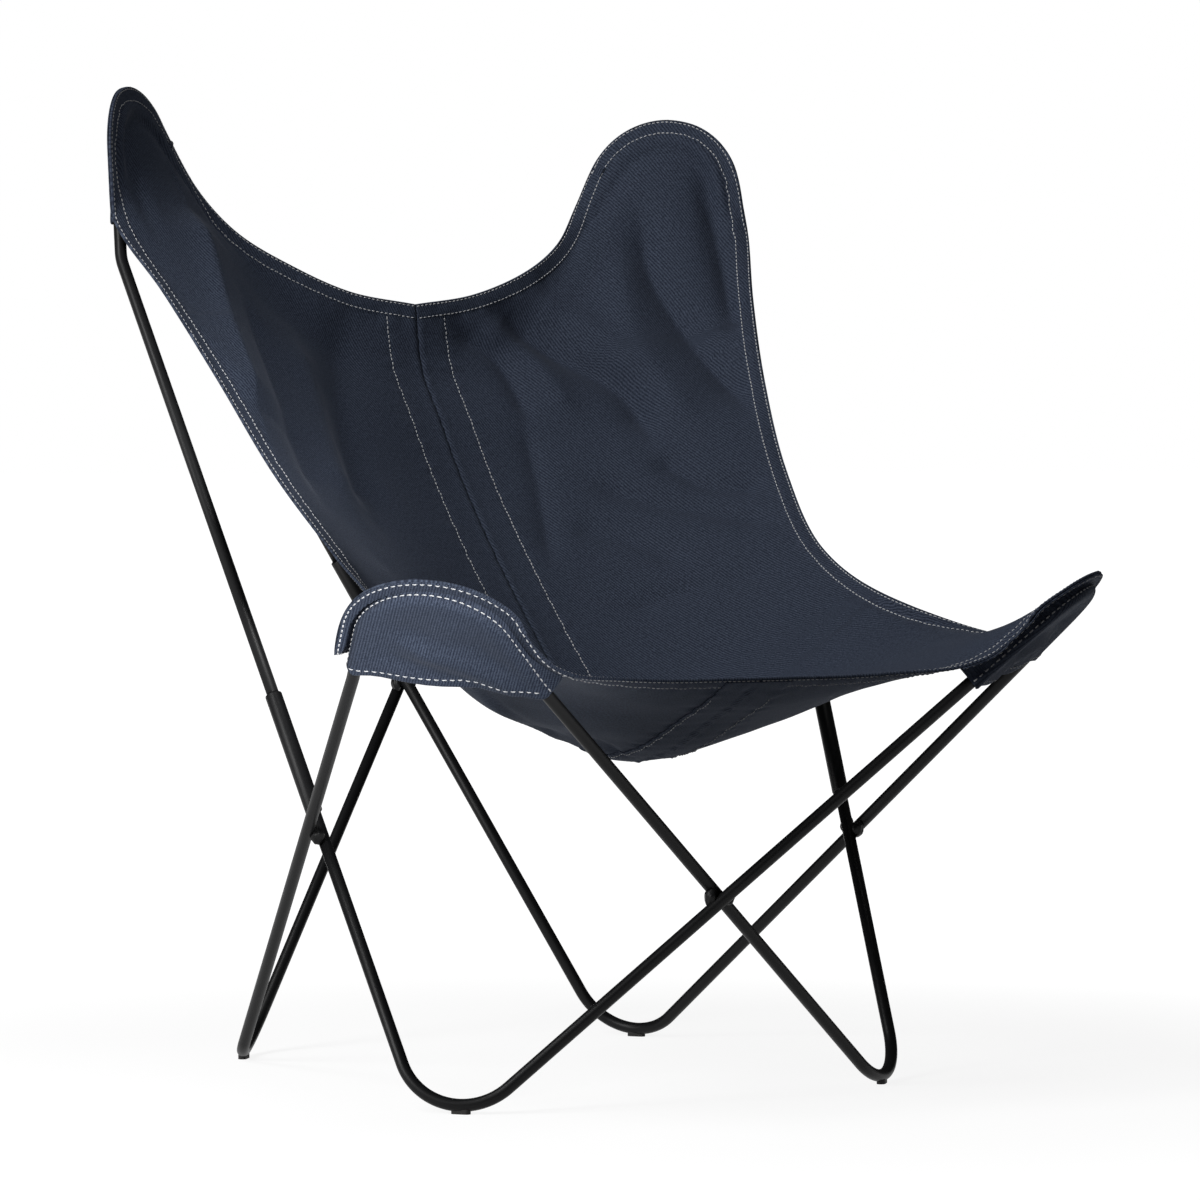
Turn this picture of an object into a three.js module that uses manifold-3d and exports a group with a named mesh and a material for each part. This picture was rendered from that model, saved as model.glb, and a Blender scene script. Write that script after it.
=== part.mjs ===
// Butterfly sling chair: a bent steel rod frame with a canvas sling hung on its four ears.
// Millimetres, +Z up, the chair faces -Y. The origin is on the floor under the middle of the box.
import * as THREE from 'three';
import { mergeVertices } from 'three/addons/utils/BufferGeometryUtils.js';
import Module from 'manifold-3d';

const wasm = await Module();
wasm.setup();

// Rod and fit
const ROD_DIAMETER = 11.5;
const SEAT_GAP = 0.3;
const BEND_STEP = THREE.MathUtils.degToRad(10);

// Floor bends: where the straight legs would meet, seen from above
const REAR_FOOT_SPREAD = 428;
const FRONT_FOOT_SPREAD = 503;
const FOOT_DEPTH = 485;
const FLOOR_BEND_RADIUS = 60;
const LOOP_STAGGER = 12.8;

// Front ears: kinks where the legs turn into the ear, and the ear beyond them
const FRONT_KINK_HEIGHT = 390;
const FRONT_OUTER_KINK = { across: 343, ahead: 278 };
const FRONT_INNER_KINK = { across: 226, ahead: 395 };
const FRONT_EAR_REACH = 106;
const FRONT_EAR_RADIUS = 65;
const FRONT_EAR_LEAN = THREE.MathUtils.degToRad(47);
const FRONT_EAR_SKEW = -3;

// Rear ears
const REAR_KINK_HEIGHT = 767;
const REAR_OUTER_KINK = { across: 342, behind: 228 };
const REAR_INNER_KINK = { across: 228, behind: 362 };
const REAR_EAR_REACH = { left: 148, right: 135 };
const REAR_EAR_RADIUS = 59;
const REAR_EAR_LEAN = THREE.MathUtils.degToRad(6);
const REAR_EAR_SKEW = 10;
const KINK_RADIUS = 45;

// Sleeves that join the back loops to the base rods
const SLEEVE_LENGTH = 122;
const SLEEVE_WALL = 1.75;
const SLEEVE_CHAMFER = 0.9;
const SLEEVE_ABOVE_CROSSING = 14;
const ROD_END_GAP = 0.6;

// Weld beads in the corners of each crossing
const BEAD_LENGTH = 17;
const BEAD_WIDTH = 10;
const BEAD_DEPTH = 13;

// Foot pads
const PAD_LENGTH = 18;
const PAD_WIDTH = 8;
const PAD_HEIGHT = 4.6;
const PAD_UNDER_ROD = 2;

// Sling cloth
const CLOTH_THICKNESS = 1.6;
const HEM_WIDTH = 15;
const HEM_THICKNESS = 3;
const TOP_EDGE_CENTRE = { behind: 277, height: 730 };
const FRONT_EDGE_CENTRE = { ahead: 391, height: 388 };
const SEAT_LOW = { ahead: 156, height: 304 };
const SIDE_EDGE_BOW = 90;
const BAND_WIDTH = 68;
const BAND_THICKNESS = 1.2;
const BAND_CELLS = 4;
const SEAM_GAP = 0.3;
const POCKET_THICKNESS = 1.4;
const POCKET_SLACK = 1;
const FLANGE_DIP = 5;
const FRONT_POCKET = { outerMouth: 13, innerMouth: -15, hemStart: 30, outerDip: 0, innerLift: 5 };
const REAR_POCKET = { outerMouth: 34, innerMouth: 34, hemStart: 40, outerDip: 12, innerLift: 14 };
const LAYER_GAP = 1;

// Folds of the cloth
const VALLEY_DEPTH = 8;
const RIDGE_HEIGHT = 10;
const FOLD_HEIGHT = 5;
const FOLD_HALF_WIDTH = 30;
const PULL_HALF_WIDTH = 42;

// Numbers of facets
const ROD_SIDES = 12;
const SLEEVE_SIDES = 24;
const BEAD_SIDES = 12;
const BEAD_RINGS = 8;
const PAD_CURVE_STEPS = 6;

// Number of cells of the sling's mesh, and how it is relaxed
const CELLS_ACROSS = 17;
const CELLS_DOWN = 33;
const RELAX_ROUNDS = 1500;
const RELAX_PACE = 1.5;
const LOAD_PACE = 0.05;
const CURVE_SAMPLES = 400;
const FOLD_FADE_CELLS = 3;

const rodRadius = ROD_DIAMETER / 2;
const footHalfDepth = FOOT_DEPTH / 2;
const UP = new THREE.Vector3(0, 0, 1);
const LATHE_AXIS = new THREE.Vector3(0, 1, 0);

const point = (x, y, z) => new THREE.Vector3(x, y, z);
const between = (a, b, share) => a.clone().lerp(b, share);
const along = (start, direction, distance) => start.clone().addScaledVector(direction, distance);
const direction = (from, to) => to.clone().sub(from).normalize();

// The frame is two rod loops, mirror images of each other, one a rod's width behind the other.
// A loop is drawn for the front left ear and the rear right ear; side -1 gives its mirror image.
const onSide = (p, side) => point(p.x * side, p.y + side * LOOP_STAGGER / 2, p.z);
const mirrored = (p) => point(-p.x, p.y, p.z);

const frontOuter = point(-FRONT_OUTER_KINK.across, -FRONT_OUTER_KINK.ahead, FRONT_KINK_HEIGHT);
const frontInner = point(-FRONT_INNER_KINK.across, -FRONT_INNER_KINK.ahead, FRONT_KINK_HEIGHT);
const rearOuter = point(REAR_OUTER_KINK.across, REAR_OUTER_KINK.behind, REAR_KINK_HEIGHT);
const rearInner = point(REAR_INNER_KINK.across, REAR_INNER_KINK.behind, REAR_KINK_HEIGHT);

// A fillet of a path's corner: its centre, and where it leaves the straight on either side
function fillet(previous, corner, next, radius) {
  const back = direction(corner, previous);
  const onward = direction(corner, next);
  const half = back.angleTo(onward) / 2;
  const middle = back.clone().add(onward).normalize();
  return {
    centre: along(corner, middle, radius / Math.sin(half)),
    start: along(corner, back, radius / Math.tan(half)),
    end: along(corner, onward, radius / Math.tan(half)),
    axis: onward.clone().cross(back).normalize(),
    turn: Math.PI - 2 * half,
  };
}

// The corner under the floor bend, low enough that the bend's rod rests on its pad
function floorCorner(x, y, previous, next) {
  const corner = point(x, y, 0);
  const rounds = 8;
  for (let round = 0; round < rounds; round += 1) {
    corner.z += rodRadius + PAD_UNDER_ROD - bendBottom(previous, corner, next).z;
  }
  return corner;
}

function bendBottom(previous, corner, next) {
  const bend = fillet(previous, corner, next, FLOOR_BEND_RADIUS);
  const down = UP.clone().negate().projectOnPlane(bend.axis).normalize();
  return along(bend.centre, down, FLOOR_BEND_RADIUS);
}

const rearFoot = floorCorner(-REAR_FOOT_SPREAD / 2, footHalfDepth, rearInner, frontOuter);
const frontFoot = floorCorner(FRONT_FOOT_SPREAD / 2, -footHalfDepth, frontInner, rearOuter);

// An ear's own plane: 'across' from its outer to its inner kink, 'rise' up the ear,
// and 'inward', the side on which the sling lies
function earPlane(outer, inner, lean) {
  const middle = between(outer, inner, 0.5);
  const across = direction(outer, inner);
  const outward = point(middle.x, middle.y, 0).projectOnPlane(across).normalize();
  const rise = outward.clone().multiplyScalar(Math.sin(lean)).addScaledVector(UP, Math.cos(lean));
  const inward = outward.clone().multiplyScalar(-Math.cos(lean)).addScaledVector(UP, Math.sin(lean));
  return { middle, across, rise, inward, halfWidth: outer.distanceTo(inner) / 2 };
}

// The ear's bend is tangent to two sides that start at the kinks and lean together. A skewed ear
// has its bend nearer the outer kink, so its outer side stands steeper than its inner side. The
// inner leg's slope is how far the leg spreads for each step it falls below the inner kink.
function ear(outer, inner, innerFoot, lean, reach, radius, skew) {
  const plane = earPlane(outer, inner, lean);
  const innerLeg = innerFoot.clone().sub(inner);
  const innerLegSlope = -innerLeg.dot(plane.across) / innerLeg.dot(plane.rise);
  const bendHeight = reach - radius;
  const angleOf = (width) => (
    Math.atan2(bendHeight, width) + Math.asin(radius / Math.hypot(width, bendHeight))
  );
  const outerAngle = angleOf(plane.halfWidth - skew);
  const innerAngle = angleOf(plane.halfWidth + skew);
  const outerSlope = Math.tan(outerAngle);
  const innerSlope = Math.tan(innerAngle);
  const apexRise = 2 * plane.halfWidth * outerSlope * innerSlope / (outerSlope + innerSlope);
  const apexAcross = apexRise / outerSlope - plane.halfWidth;
  const apex = along(along(plane.middle, plane.across, apexAcross), plane.rise, apexRise);
  return { ...plane, reach, radius, skew, bendHeight, outerAngle, innerAngle, innerLegSlope, apex };
}

const frontEar = ear(
  frontOuter, frontInner, frontFoot, FRONT_EAR_LEAN, FRONT_EAR_REACH, FRONT_EAR_RADIUS, FRONT_EAR_SKEW,
);
const rearEarWith = (reach) => ear(
  rearOuter, rearInner, rearFoot, REAR_EAR_LEAN, reach, REAR_EAR_RADIUS, REAR_EAR_SKEW,
);
const rearEars = {
  left: rearEarWith(REAR_EAR_REACH.left),
  right: rearEarWith(REAR_EAR_REACH.right),
};

// Where two legs pass each other: the nearest point of each, as a distance from its foot
function nearestOnLine(start, heading, otherStart, otherHeading) {
  const offset = start.clone().sub(otherStart);
  const likeness = heading.dot(otherHeading);
  return (likeness * otherHeading.dot(offset) - heading.dot(offset)) / (1 - likeness * likeness);
}

function crossing(footA, topA, footB, topB) {
  const directionA = direction(footA, topA);
  const directionB = direction(footB, topB);
  const distanceA = nearestOnLine(footA, directionA, footB, directionB);
  const distanceB = nearestOnLine(footB, directionB, footA, directionA);
  return {
    pointA: along(footA, directionA, distanceA),
    pointB: along(footB, directionB, distanceB),
    directionA,
    directionB,
    distanceA,
    distanceB,
  };
}

// The four crossings of the loop and its mirror image; a loop's legs are named by where they rise to
const leg = (foot, top, side) => ({ foot: onSide(foot, side), top: onSide(top, side) });
const crossLegs = (a, b) => crossing(a.foot, a.top, b.foot, b.top);
const crossings = {
  front: crossLegs(leg(frontFoot, frontInner, 1), leg(frontFoot, frontInner, -1)),
  rear: crossLegs(leg(rearFoot, rearInner, 1), leg(rearFoot, rearInner, -1)),
  left: crossLegs(leg(rearFoot, frontOuter, 1), leg(frontFoot, rearOuter, -1)),
  right: crossLegs(leg(rearFoot, frontOuter, -1), leg(frontFoot, rearOuter, 1)),
};

// A path through corners with a fillet at each, kept as the stations where a ring of the rod lies
function bentPath(corners, radii) {
  const stations = [{ at: corners[0], heading: direction(corners[0], corners[1]) }];
  for (let i = 1; i < corners.length - 1; i += 1) {
    const bend = fillet(corners[i - 1], corners[i], corners[i + 1], radii[i - 1]);
    const steps = Math.ceil(bend.turn / BEND_STEP);
    const startHeading = direction(corners[i - 1], corners[i]);
    for (let step = 0; step <= steps; step += 1) {
      const angle = bend.turn * step / steps;
      stations.push({
        at: bend.start.clone().sub(bend.centre).applyAxisAngle(bend.axis, angle).add(bend.centre),
        heading: startHeading.clone().applyAxisAngle(bend.axis, angle),
      });
    }
  }
  const last = corners.length - 1;
  stations.push({ at: corners[last], heading: direction(corners[last - 1], corners[last]) });
  return stations;
}

class StationPath extends THREE.Curve {
  constructor(stations) {
    super();
    this.stations = stations;
  }

  getUtoTmapping(u) {
    return u;
  }

  blend(t, key) {
    const place = t * (this.stations.length - 1);
    const first = Math.min(Math.floor(place), this.stations.length - 2);
    return between(this.stations[first][key], this.stations[first + 1][key], place - first);
  }

  getPoint(t) {
    return this.blend(t, 'at');
  }

  getTangent(t) {
    return this.blend(t, 'heading').normalize();
  }
}

function rodGeometry(corners, radii, radius = rodRadius) {
  const stations = bentPath(corners, radii);
  const section = new THREE.Shape().absarc(0, 0, radius, 0, 2 * Math.PI);
  return new THREE.ExtrudeGeometry(section, {
    steps: stations.length - 1,
    curveSegments: ROD_SIDES / 2,
    bevelEnabled: false,
    extrudePath: new StationPath(stations),
  });
}

// Sleeves: each starts just above a crossing, and the rods end at its middle
const sleeveStart = {
  inner: crossings.rear.distanceA + rodRadius + SLEEVE_ABOVE_CROSSING,
  outer: Math.max(crossings.left.distanceB, crossings.right.distanceB) + rodRadius + SLEEVE_ABOVE_CROSSING,
};

function sleeveGeometry() {
  const bore = (rodRadius + SEAT_GAP) / Math.cos(Math.PI / SLEEVE_SIDES);
  const outside = bore + SLEEVE_WALL;
  const profile = [
    [bore, 0],
    [outside - SLEEVE_CHAMFER, 0],
    [outside, SLEEVE_CHAMFER],
    [outside, SLEEVE_LENGTH - SLEEVE_CHAMFER],
    [outside - SLEEVE_CHAMFER, SLEEVE_LENGTH],
    [bore, SLEEVE_LENGTH],
    [bore, 0],
  ].map(([r, h]) => new THREE.Vector2(r, h));
  return new THREE.LatheGeometry(profile, SLEEVE_SIDES);
}

function splitPoint(foot, top, start, gapSide) {
  return along(foot, direction(foot, top), start + SLEEVE_LENGTH / 2 + gapSide * ROD_END_GAP / 2);
}

// Corners and radii of the two rods of a loop
function baseRodCorners(side) {
  const corners = [
    splitPoint(rearFoot, rearInner, sleeveStart.inner, -1),
    rearFoot,
    frontOuter,
    frontEar.apex,
    frontInner,
    frontFoot,
    splitPoint(frontFoot, rearOuter, sleeveStart.outer, -1),
  ];
  return corners.map((corner) => onSide(corner, side));
}

function backLoopCorners(side) {
  const corners = [
    splitPoint(rearFoot, rearInner, sleeveStart.inner, 1),
    rearInner,
    (side > 0 ? rearEars.right : rearEars.left).apex,
    rearOuter,
    splitPoint(frontFoot, rearOuter, sleeveStart.outer, 1),
  ];
  return corners.map((corner) => onSide(corner, side));
}

const baseRodRadii = [FLOOR_BEND_RADIUS, KINK_RADIUS, FRONT_EAR_RADIUS, KINK_RADIUS, FLOOR_BEND_RADIUS];
const backLoopRadii = [KINK_RADIUS, REAR_EAR_RADIUS, KINK_RADIUS];

// Solids for cutting one piece by another
function toSolid(geometry) {
  const bare = geometry.clone();
  bare.deleteAttribute('normal');
  bare.deleteAttribute('uv');
  const merged = mergeVertices(bare);
  return new wasm.Manifold(new wasm.Mesh({
    numProp: 3,
    vertProperties: new Float32Array(merged.attributes.position.array),
    triVerts: new Uint32Array(merged.index.array),
  }));
}

function fromSolid(solid) {
  const mesh = solid.getMesh();
  const geometry = new THREE.BufferGeometry();
  geometry.setAttribute('position', new THREE.BufferAttribute(mesh.vertProperties, 3));
  geometry.setIndex(new THREE.BufferAttribute(mesh.triVerts, 1));
  return geometry;
}

function cutByRods(geometry, sides) {
  let solid = toSolid(geometry);
  for (const side of sides) {
    const room = rodGeometry(baseRodCorners(side), baseRodRadii, rodRadius + SEAT_GAP);
    solid = solid.subtract(toSolid(room));
  }
  return fromSolid(solid);
}

// A weld bead fills one corner between two crossing rods; sign picks the corner. The narrower the
// corner, the further out the rods' sides part.
function beadGeometry(cross, sign) {
  const halfCorner = cross.directionA.angleTo(cross.directionB.clone().negate()) / 2;
  const outward = rodRadius / Math.sin(halfCorner) + BEAD_WIDTH / 8;
  const centre = between(cross.pointA, cross.pointB, 0.5);
  const through = direction(cross.pointA, cross.pointB);
  const corner = cross.directionA.clone().sub(cross.directionB).projectOnPlane(through).normalize();
  const lengthwise = through.clone().cross(corner).normalize();
  const bead = new THREE.SphereGeometry(BEAD_WIDTH / 2, BEAD_SIDES, BEAD_RINGS);
  bead.scale(1, BEAD_LENGTH / BEAD_WIDTH, BEAD_DEPTH / BEAD_WIDTH);
  const turn = new THREE.Matrix4().makeBasis(corner, lengthwise, through);
  bead.applyMatrix4(turn);
  const place = along(centre, corner, sign * outward);
  bead.translate(place.x, place.y, place.z);
  return cutByRods(bead, [1, -1]);
}

// A foot pad lies under the lowest point of a floor bend and is hollowed to the rod
function padGeometry(previous, foot, next, side) {
  const bottom = onSide(bendBottom(previous, foot, next), side);
  const heading = direction(onSide(previous, side), onSide(next, side));
  const outline = new THREE.Shape();
  const straight = (PAD_LENGTH - PAD_WIDTH) / 2;
  outline.absarc(straight, 0, PAD_WIDTH / 2, -Math.PI / 2, Math.PI / 2);
  outline.absarc(-straight, 0, PAD_WIDTH / 2, Math.PI / 2, 3 * Math.PI / 2);
  const pad = new THREE.ExtrudeGeometry(outline, {
    depth: PAD_HEIGHT,
    bevelEnabled: false,
    curveSegments: PAD_CURVE_STEPS,
  });
  pad.rotateZ(Math.atan2(heading.y, heading.x));
  pad.translate(bottom.x, bottom.y, 0);
  return cutByRods(pad, [side]);
}

// Sling
// The left half is drawn, then the right half in the same way and mirrored. An ear of the sling
// goes where its rod is: a little forward on one side of the chair and a little back on the other.
const mirroredEar = (place) => ({
  ...place,
  middle: mirrored(place.middle),
  across: mirrored(place.across),
  rise: mirrored(place.rise),
  inward: mirrored(place.inward),
});
const staggered = (place, shift) => ({ ...place, middle: place.middle.clone().setY(place.middle.y + shift) });

function earsOnSide(side) {
  return {
    front: staggered(frontEar, side * LOOP_STAGGER / 2),
    rear: staggered(mirroredEar(side > 0 ? rearEars.left : rearEars.right), -side * LOOP_STAGGER / 2),
  };
}

const earMargin = rodRadius + HEM_WIDTH;
const slingLift = rodRadius + SEAT_GAP + HEM_THICKNESS / 2;
const flangeLift = slingLift - FLANGE_DIP;

// A place on an ear: across and rise in its plane, lift towards the sitter
function onEar(place, across, rise, lift) {
  return along(along(along(place.middle, place.across, across), place.rise, rise), place.inward, lift);
}

// A place beside the ear's rod: on the bend at an angle from straight up, at a margin outside the rod
function besideBend(place, angle, margin, lift) {
  const radius = place.radius + margin;
  const across = radius * Math.sin(angle) - place.skew;
  return onEar(place, across, place.bendHeight + radius * Math.cos(angle), lift);
}

// Angles on an ear's bend run from its outer side, share -1, over its top, 0, to its inner side, 1
const bendAngle = (place, share) => share * (share < 0 ? place.outerAngle : place.innerAngle);

// The same beside one of the ear's straight sides, sign 1 on the inner kink's side, where it goes on
// beside the leg below the kink
function besideSide(place, rise, sign, margin, lift) {
  const angle = sign < 0 ? place.outerAngle : place.innerAngle;
  const slope = sign > 0 && rise < 0 ? place.innerLegSlope : 1 / Math.tan(angle);
  const half = place.halfWidth - rise * slope + margin / Math.sin(angle);
  return onEar(place, sign * half, rise, lift);
}

// Shares of the way along each free edge: across, depth, height, and inward bow
const topEdgeShares = [
  [0.28, 0.1, 0.07],
  [0.53, 0.2, 0.22],
  [0.74, 0.55, 0.42],
  [0.88, 0.9, 0.68],
];
const sideEdgeShares = [
  [0.11, 0.18, 0.32],
  [0.24, 0.39, 0.63],
  [0.39, 0.61, 0.89],
  [0.58, 0.8, 1.1],
  [0.8, 0.915, 0.97],
];
const frontEdgeShares = [
  [0.07, 0.2, 0.5],
  [0.23, 0.5, 0.86],
  [0.46, 0.95, 0.96],
  [0.66, 1.1, 1],
  [0.84, 1.05, 1],
];
const hemStartDipShare = 0.3;
const earAngleShares = [-0.92, -0.6, -0.3, 0, 0.3, 0.6, 0.92];

// The ear's part of the sling's edge, from its outer side over the bend to its inner side,
// where it lifts off towards the next free edge
function earEdge(place, { hemStart, outerDip, innerLift }) {
  return [
    besideSide(place, hemStart, -1, earMargin, flangeLift - outerDip * hemStartDipShare),
    ...earAngleShares.map((share) => {
      const lift = flangeLift + innerLift * Math.max(share, 0) + outerDip * Math.min(share, 0);
      return besideBend(place, bendAngle(place, share), earMargin, lift);
    }),
  ];
}

function slingBoundary({ front: frontPlace, rear: rearPlace }) {
  const topCentre = point(0, TOP_EDGE_CENTRE.behind, TOP_EDGE_CENTRE.height);
  const frontCentre = point(0, -FRONT_EDGE_CENTRE.ahead, FRONT_EDGE_CENTRE.height);
  const rear = earEdge(rearPlace, REAR_POCKET).reverse();
  const front = earEdge(frontPlace, FRONT_POCKET);
  const top = topEdgeShares.map(([a, d, h]) => point(
    THREE.MathUtils.lerp(topCentre.x, rear[0].x, a),
    THREE.MathUtils.lerp(topCentre.y, rear[0].y, d),
    THREE.MathUtils.lerp(topCentre.z, rear[0].z, h),
  ));
  const rearEnd = rear[rear.length - 1];
  const side = sideEdgeShares.map(([d, h, bow]) => point(
    THREE.MathUtils.lerp(rearEnd.x, front[0].x, d) + bow * SIDE_EDGE_BOW,
    THREE.MathUtils.lerp(rearEnd.y, front[0].y, d),
    THREE.MathUtils.lerp(rearEnd.z, front[0].z, h),
  ));
  const frontEnd = front[front.length - 1];
  const edge = frontEdgeShares.map(([a, d, h]) => point(
    THREE.MathUtils.lerp(frontEnd.x, frontCentre.x, a),
    THREE.MathUtils.lerp(frontEnd.y, frontCentre.y, d),
    THREE.MathUtils.lerp(frontEnd.z, frontCentre.z, h),
  ));
  const points = [topCentre, ...top, ...rear, ...side, ...front, ...edge, frontCentre];
  const apexStep = earAngleShares.indexOf(0);
  const rearApex = 1 + top.length + apexStep;
  const frontApex = 1 + top.length + rear.length + side.length + 1 + apexStep;
  return { points, rearApex, frontApex };
}

// The centre seam's line from the top edge to the front edge: shares of depth and height
const seamBackShares = [
  [0.035, 0.15],
  [0.125, 0.268],
  [0.222, 0.394],
  [0.39, 0.573],
  [0.53, 0.704],
  [0.677, 0.833],
  [0.815, 0.939],
  [0.91, 0.981],
];
const seamFrontShares = [
  [0.33, 0.17],
  [0.62, 0.51],
  [0.84, 0.76],
];

function seamPoints() {
  const top = point(0, TOP_EDGE_CENTRE.behind, TOP_EDGE_CENTRE.height);
  const low = point(0, -SEAT_LOW.ahead, SEAT_LOW.height);
  const front = point(0, -FRONT_EDGE_CENTRE.ahead, FRONT_EDGE_CENTRE.height);
  const placed = (from, to) => ([d, h]) => point(
    0,
    THREE.MathUtils.lerp(from.y, to.y, d),
    THREE.MathUtils.lerp(from.z, to.z, h),
  );
  return [
    top,
    ...seamBackShares.map(placed(top, low)),
    low,
    ...seamFrontShares.map(placed(low, front)),
    front,
  ];
}

const smooth = (points) => new THREE.CatmullRomCurve3(points, false, 'centripetal');

// The left half's mesh: column 0 is the centre seam, the last column runs from ear to ear
function slingHalf(side) {
  const ears = earsOnSide(side);
  const { points, rearApex, frontApex } = slingBoundary(ears);
  const last = points.length - 1;
  const edge = smooth(points);
  const outer = stretch(edge, rearApex / last, frontApex / last, CELLS_DOWN);
  const seam = smooth(seamPoints()).getSpacedPoints(CELLS_DOWN);
  const grid = seam.map((start, row) => {
    const line = [];
    for (let column = 0; column <= CELLS_ACROSS; column += 1) {
      line.push(between(start, outer[row], column / CELLS_ACROSS));
    }
    return line;
  });
  grid[0] = stretch(edge, 0, rearApex / last, CELLS_ACROSS);
  grid[CELLS_DOWN] = stretch(edge, frontApex / last, 1, CELLS_ACROSS).reverse();
  relax(grid);
  fold(grid, folds[side > 0 ? 'left' : 'right']);
  layHem(grid);
  layOnEar(grid, ears.front, FRONT_POCKET);
  layOnEar(grid, ears.rear, REAR_POCKET);
  return grid;
}

// Main folds of each half. Each has a height towards the sitter, below zero for a valley, and the
// places its line runs through: shares of the way from the centre seam to the outer edge, and
// from the top edge to the front edge. The broad ones are where the front ear pulls the seat taut.
const folds = {
  left: [
    { height: RIDGE_HEIGHT, lineShares: [[0.9, 0.02], [0.78, 0.08], [0.78, 0.18], [0.9, 0.36]] },
    { height: -VALLEY_DEPTH, lineShares: [[0.18, 0.04], [0.32, 0.14], [0.4, 0.23], [0.46, 0.37]] },
    { height: FOLD_HEIGHT, lineShares: [[0.46, 0.12], [0.49, 0.19], [0.54, 0.31], [0.55, 0.38]] },
    { height: RIDGE_HEIGHT, halfWidth: PULL_HALF_WIDTH, lineShares: [[0.28, 0.69], [0.22, 0.73], [0.17, 0.78]] },
    { height: -VALLEY_DEPTH, halfWidth: PULL_HALF_WIDTH, lineShares: [[0.56, 0.62], [0.5, 0.69], [0.45, 0.75]] },
  ],
  right: [
    { height: -VALLEY_DEPTH, lineShares: [[0.8, 0.08], [0.76, 0.14], [0.77, 0.2], [0.93, 0.38]] },
    { height: FOLD_HEIGHT, lineShares: [[0.72, 0.09], [0.66, 0.15], [0.66, 0.22], [0.72, 0.32]] },
    { height: -FOLD_HEIGHT, lineShares: [[0.1, 0.03], [0.23, 0.09], [0.27, 0.17]] },
    { height: FOLD_HEIGHT, lineShares: [[0.18, 0.04], [0.33, 0.1], [0.4, 0.2]] },
    { height: -VALLEY_DEPTH, lineShares: [[0.25, 0.04], [0.43, 0.12], [0.56, 0.22], [0.6, 0.3]] },
    { height: -FOLD_HEIGHT, lineShares: [[0.59, 0.33], [0.71, 0.41], [0.9, 0.47]] },
    { height: -FOLD_HEIGHT, lineShares: [[0.27, 0.33], [0.43, 0.4], [0.52, 0.46]] },
  ],
};

// The place on a half's mesh at shares across and down
function placeOn(grid, [across, down]) {
  const column = across * CELLS_ACROSS;
  const row = down * CELLS_DOWN;
  const left = Math.floor(column);
  const top = Math.floor(row);
  const upper = between(grid[top][left], grid[top][left + 1], column - left);
  const lower = between(grid[top + 1][left], grid[top + 1][left + 1], column - left);
  return upper.lerp(lower, row - top);
}

function foldLines(grid, list) {
  return list.map(({ height, halfWidth = FOLD_HALF_WIDTH, lineShares }) => {
    const places = lineShares.map((shares) => placeOn(grid, shares));
    const pieces = places.slice(1).map((place, i) => new THREE.Line3(places[i], place));
    return { height, halfWidth, pieces };
  });
}

// The height of the folds at a point; a fold is a bell across its line
function foldLift(lines, p) {
  const nearest = point(0, 0, 0);
  const distanceTo = (piece) => piece.closestPointToPoint(p, true, nearest).distanceTo(p);
  return lines.reduce((sum, { height, halfWidth, pieces }) => {
    const offLine = Math.min(...pieces.map(distanceTo)) / halfWidth;
    return sum + height * Math.exp(-offLine * offLine);
  }, 0);
}

function fold(grid, list) {
  const lines = foldLines(grid, list);
  const lifts = grid.map((line) => line.map((p) => foldLift(lines, p)));
  const normals = gridNormals(grid);
  for (let row = 1; row < CELLS_DOWN; row += 1) {
    for (let column = 1; column < CELLS_ACROSS; column += 1) {
      const fade = Math.min(column / FOLD_FADE_CELLS, (CELLS_ACROSS - column) / FOLD_FADE_CELLS, 1);
      grid[row][column].addScaledVector(normals[row][column], fade * lifts[row][column]);
    }
  }
}

// Normals of a half's mesh, towards the sitter
function gridNormals(grid) {
  return grid.map((line, row) => line.map((p, column) => {
    const above = grid[Math.max(row - 1, 0)];
    const below = grid[Math.min(row + 1, CELLS_DOWN)];
    const down = direction(above[column], below[column]);
    const across = direction(line[Math.max(column - 1, 0)], line[Math.min(column + 1, CELLS_ACROSS)]);
    return across.cross(down).normalize();
  }));
}

// Inside an ear the cloth lies on the rod, and its edge on the pocket's flange
function layOnEar(grid, place, { outerDip }) {
  const reach = place.reach + 2 * earMargin;
  const wide = place.halfWidth + 2 * earMargin;
  grid.forEach((line, row) => line.forEach((p, column) => {
    const onEdge = row === 0 || row === CELLS_DOWN || column === CELLS_ACROSS;
    const offset = p.clone().sub(place.middle);
    const outerShare = Math.max(-offset.dot(place.across) / place.halfWidth, 0);
    const floor = onEdge ? flangeLift - outerDip * Math.min(outerShare, 1) : slingLift;
    const rise = offset.dot(place.rise);
    const lift = offset.dot(place.inward);
    const within = rise > -earMargin && rise < reach && Math.abs(offset.dot(place.across)) < wide;
    if (within && lift < floor) p.addScaledVector(place.inward, floor - lift);
  }));
}

// The cells along the edge are made as wide as the hem
function layHem(grid) {
  const lay = (edge, before, after, inner) => {
    const heading = direction(before, after);
    const inwards = inner.clone().sub(edge).projectOnPlane(heading).normalize();
    inner.copy(along(edge, inwards, HEM_WIDTH));
  };
  for (let row = 1; row < CELLS_DOWN; row += 1) {
    const [before, edge, after] = [row - 1, row, row + 1].map((r) => grid[r][CELLS_ACROSS]);
    lay(edge, before, after, grid[row][CELLS_ACROSS - 1]);
  }
  for (let column = 0; column < CELLS_ACROSS - 1; column += 1) {
    for (const [edgeRow, innerRow] of [[0, 1], [CELLS_DOWN, CELLS_DOWN - 1]]) {
      const line = grid[edgeRow];
      const before = column ? line[column - 1] : mirrored(line[1]);
      lay(line[column], before, line[column + 1], grid[innerRow][column]);
    }
  }
}

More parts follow.
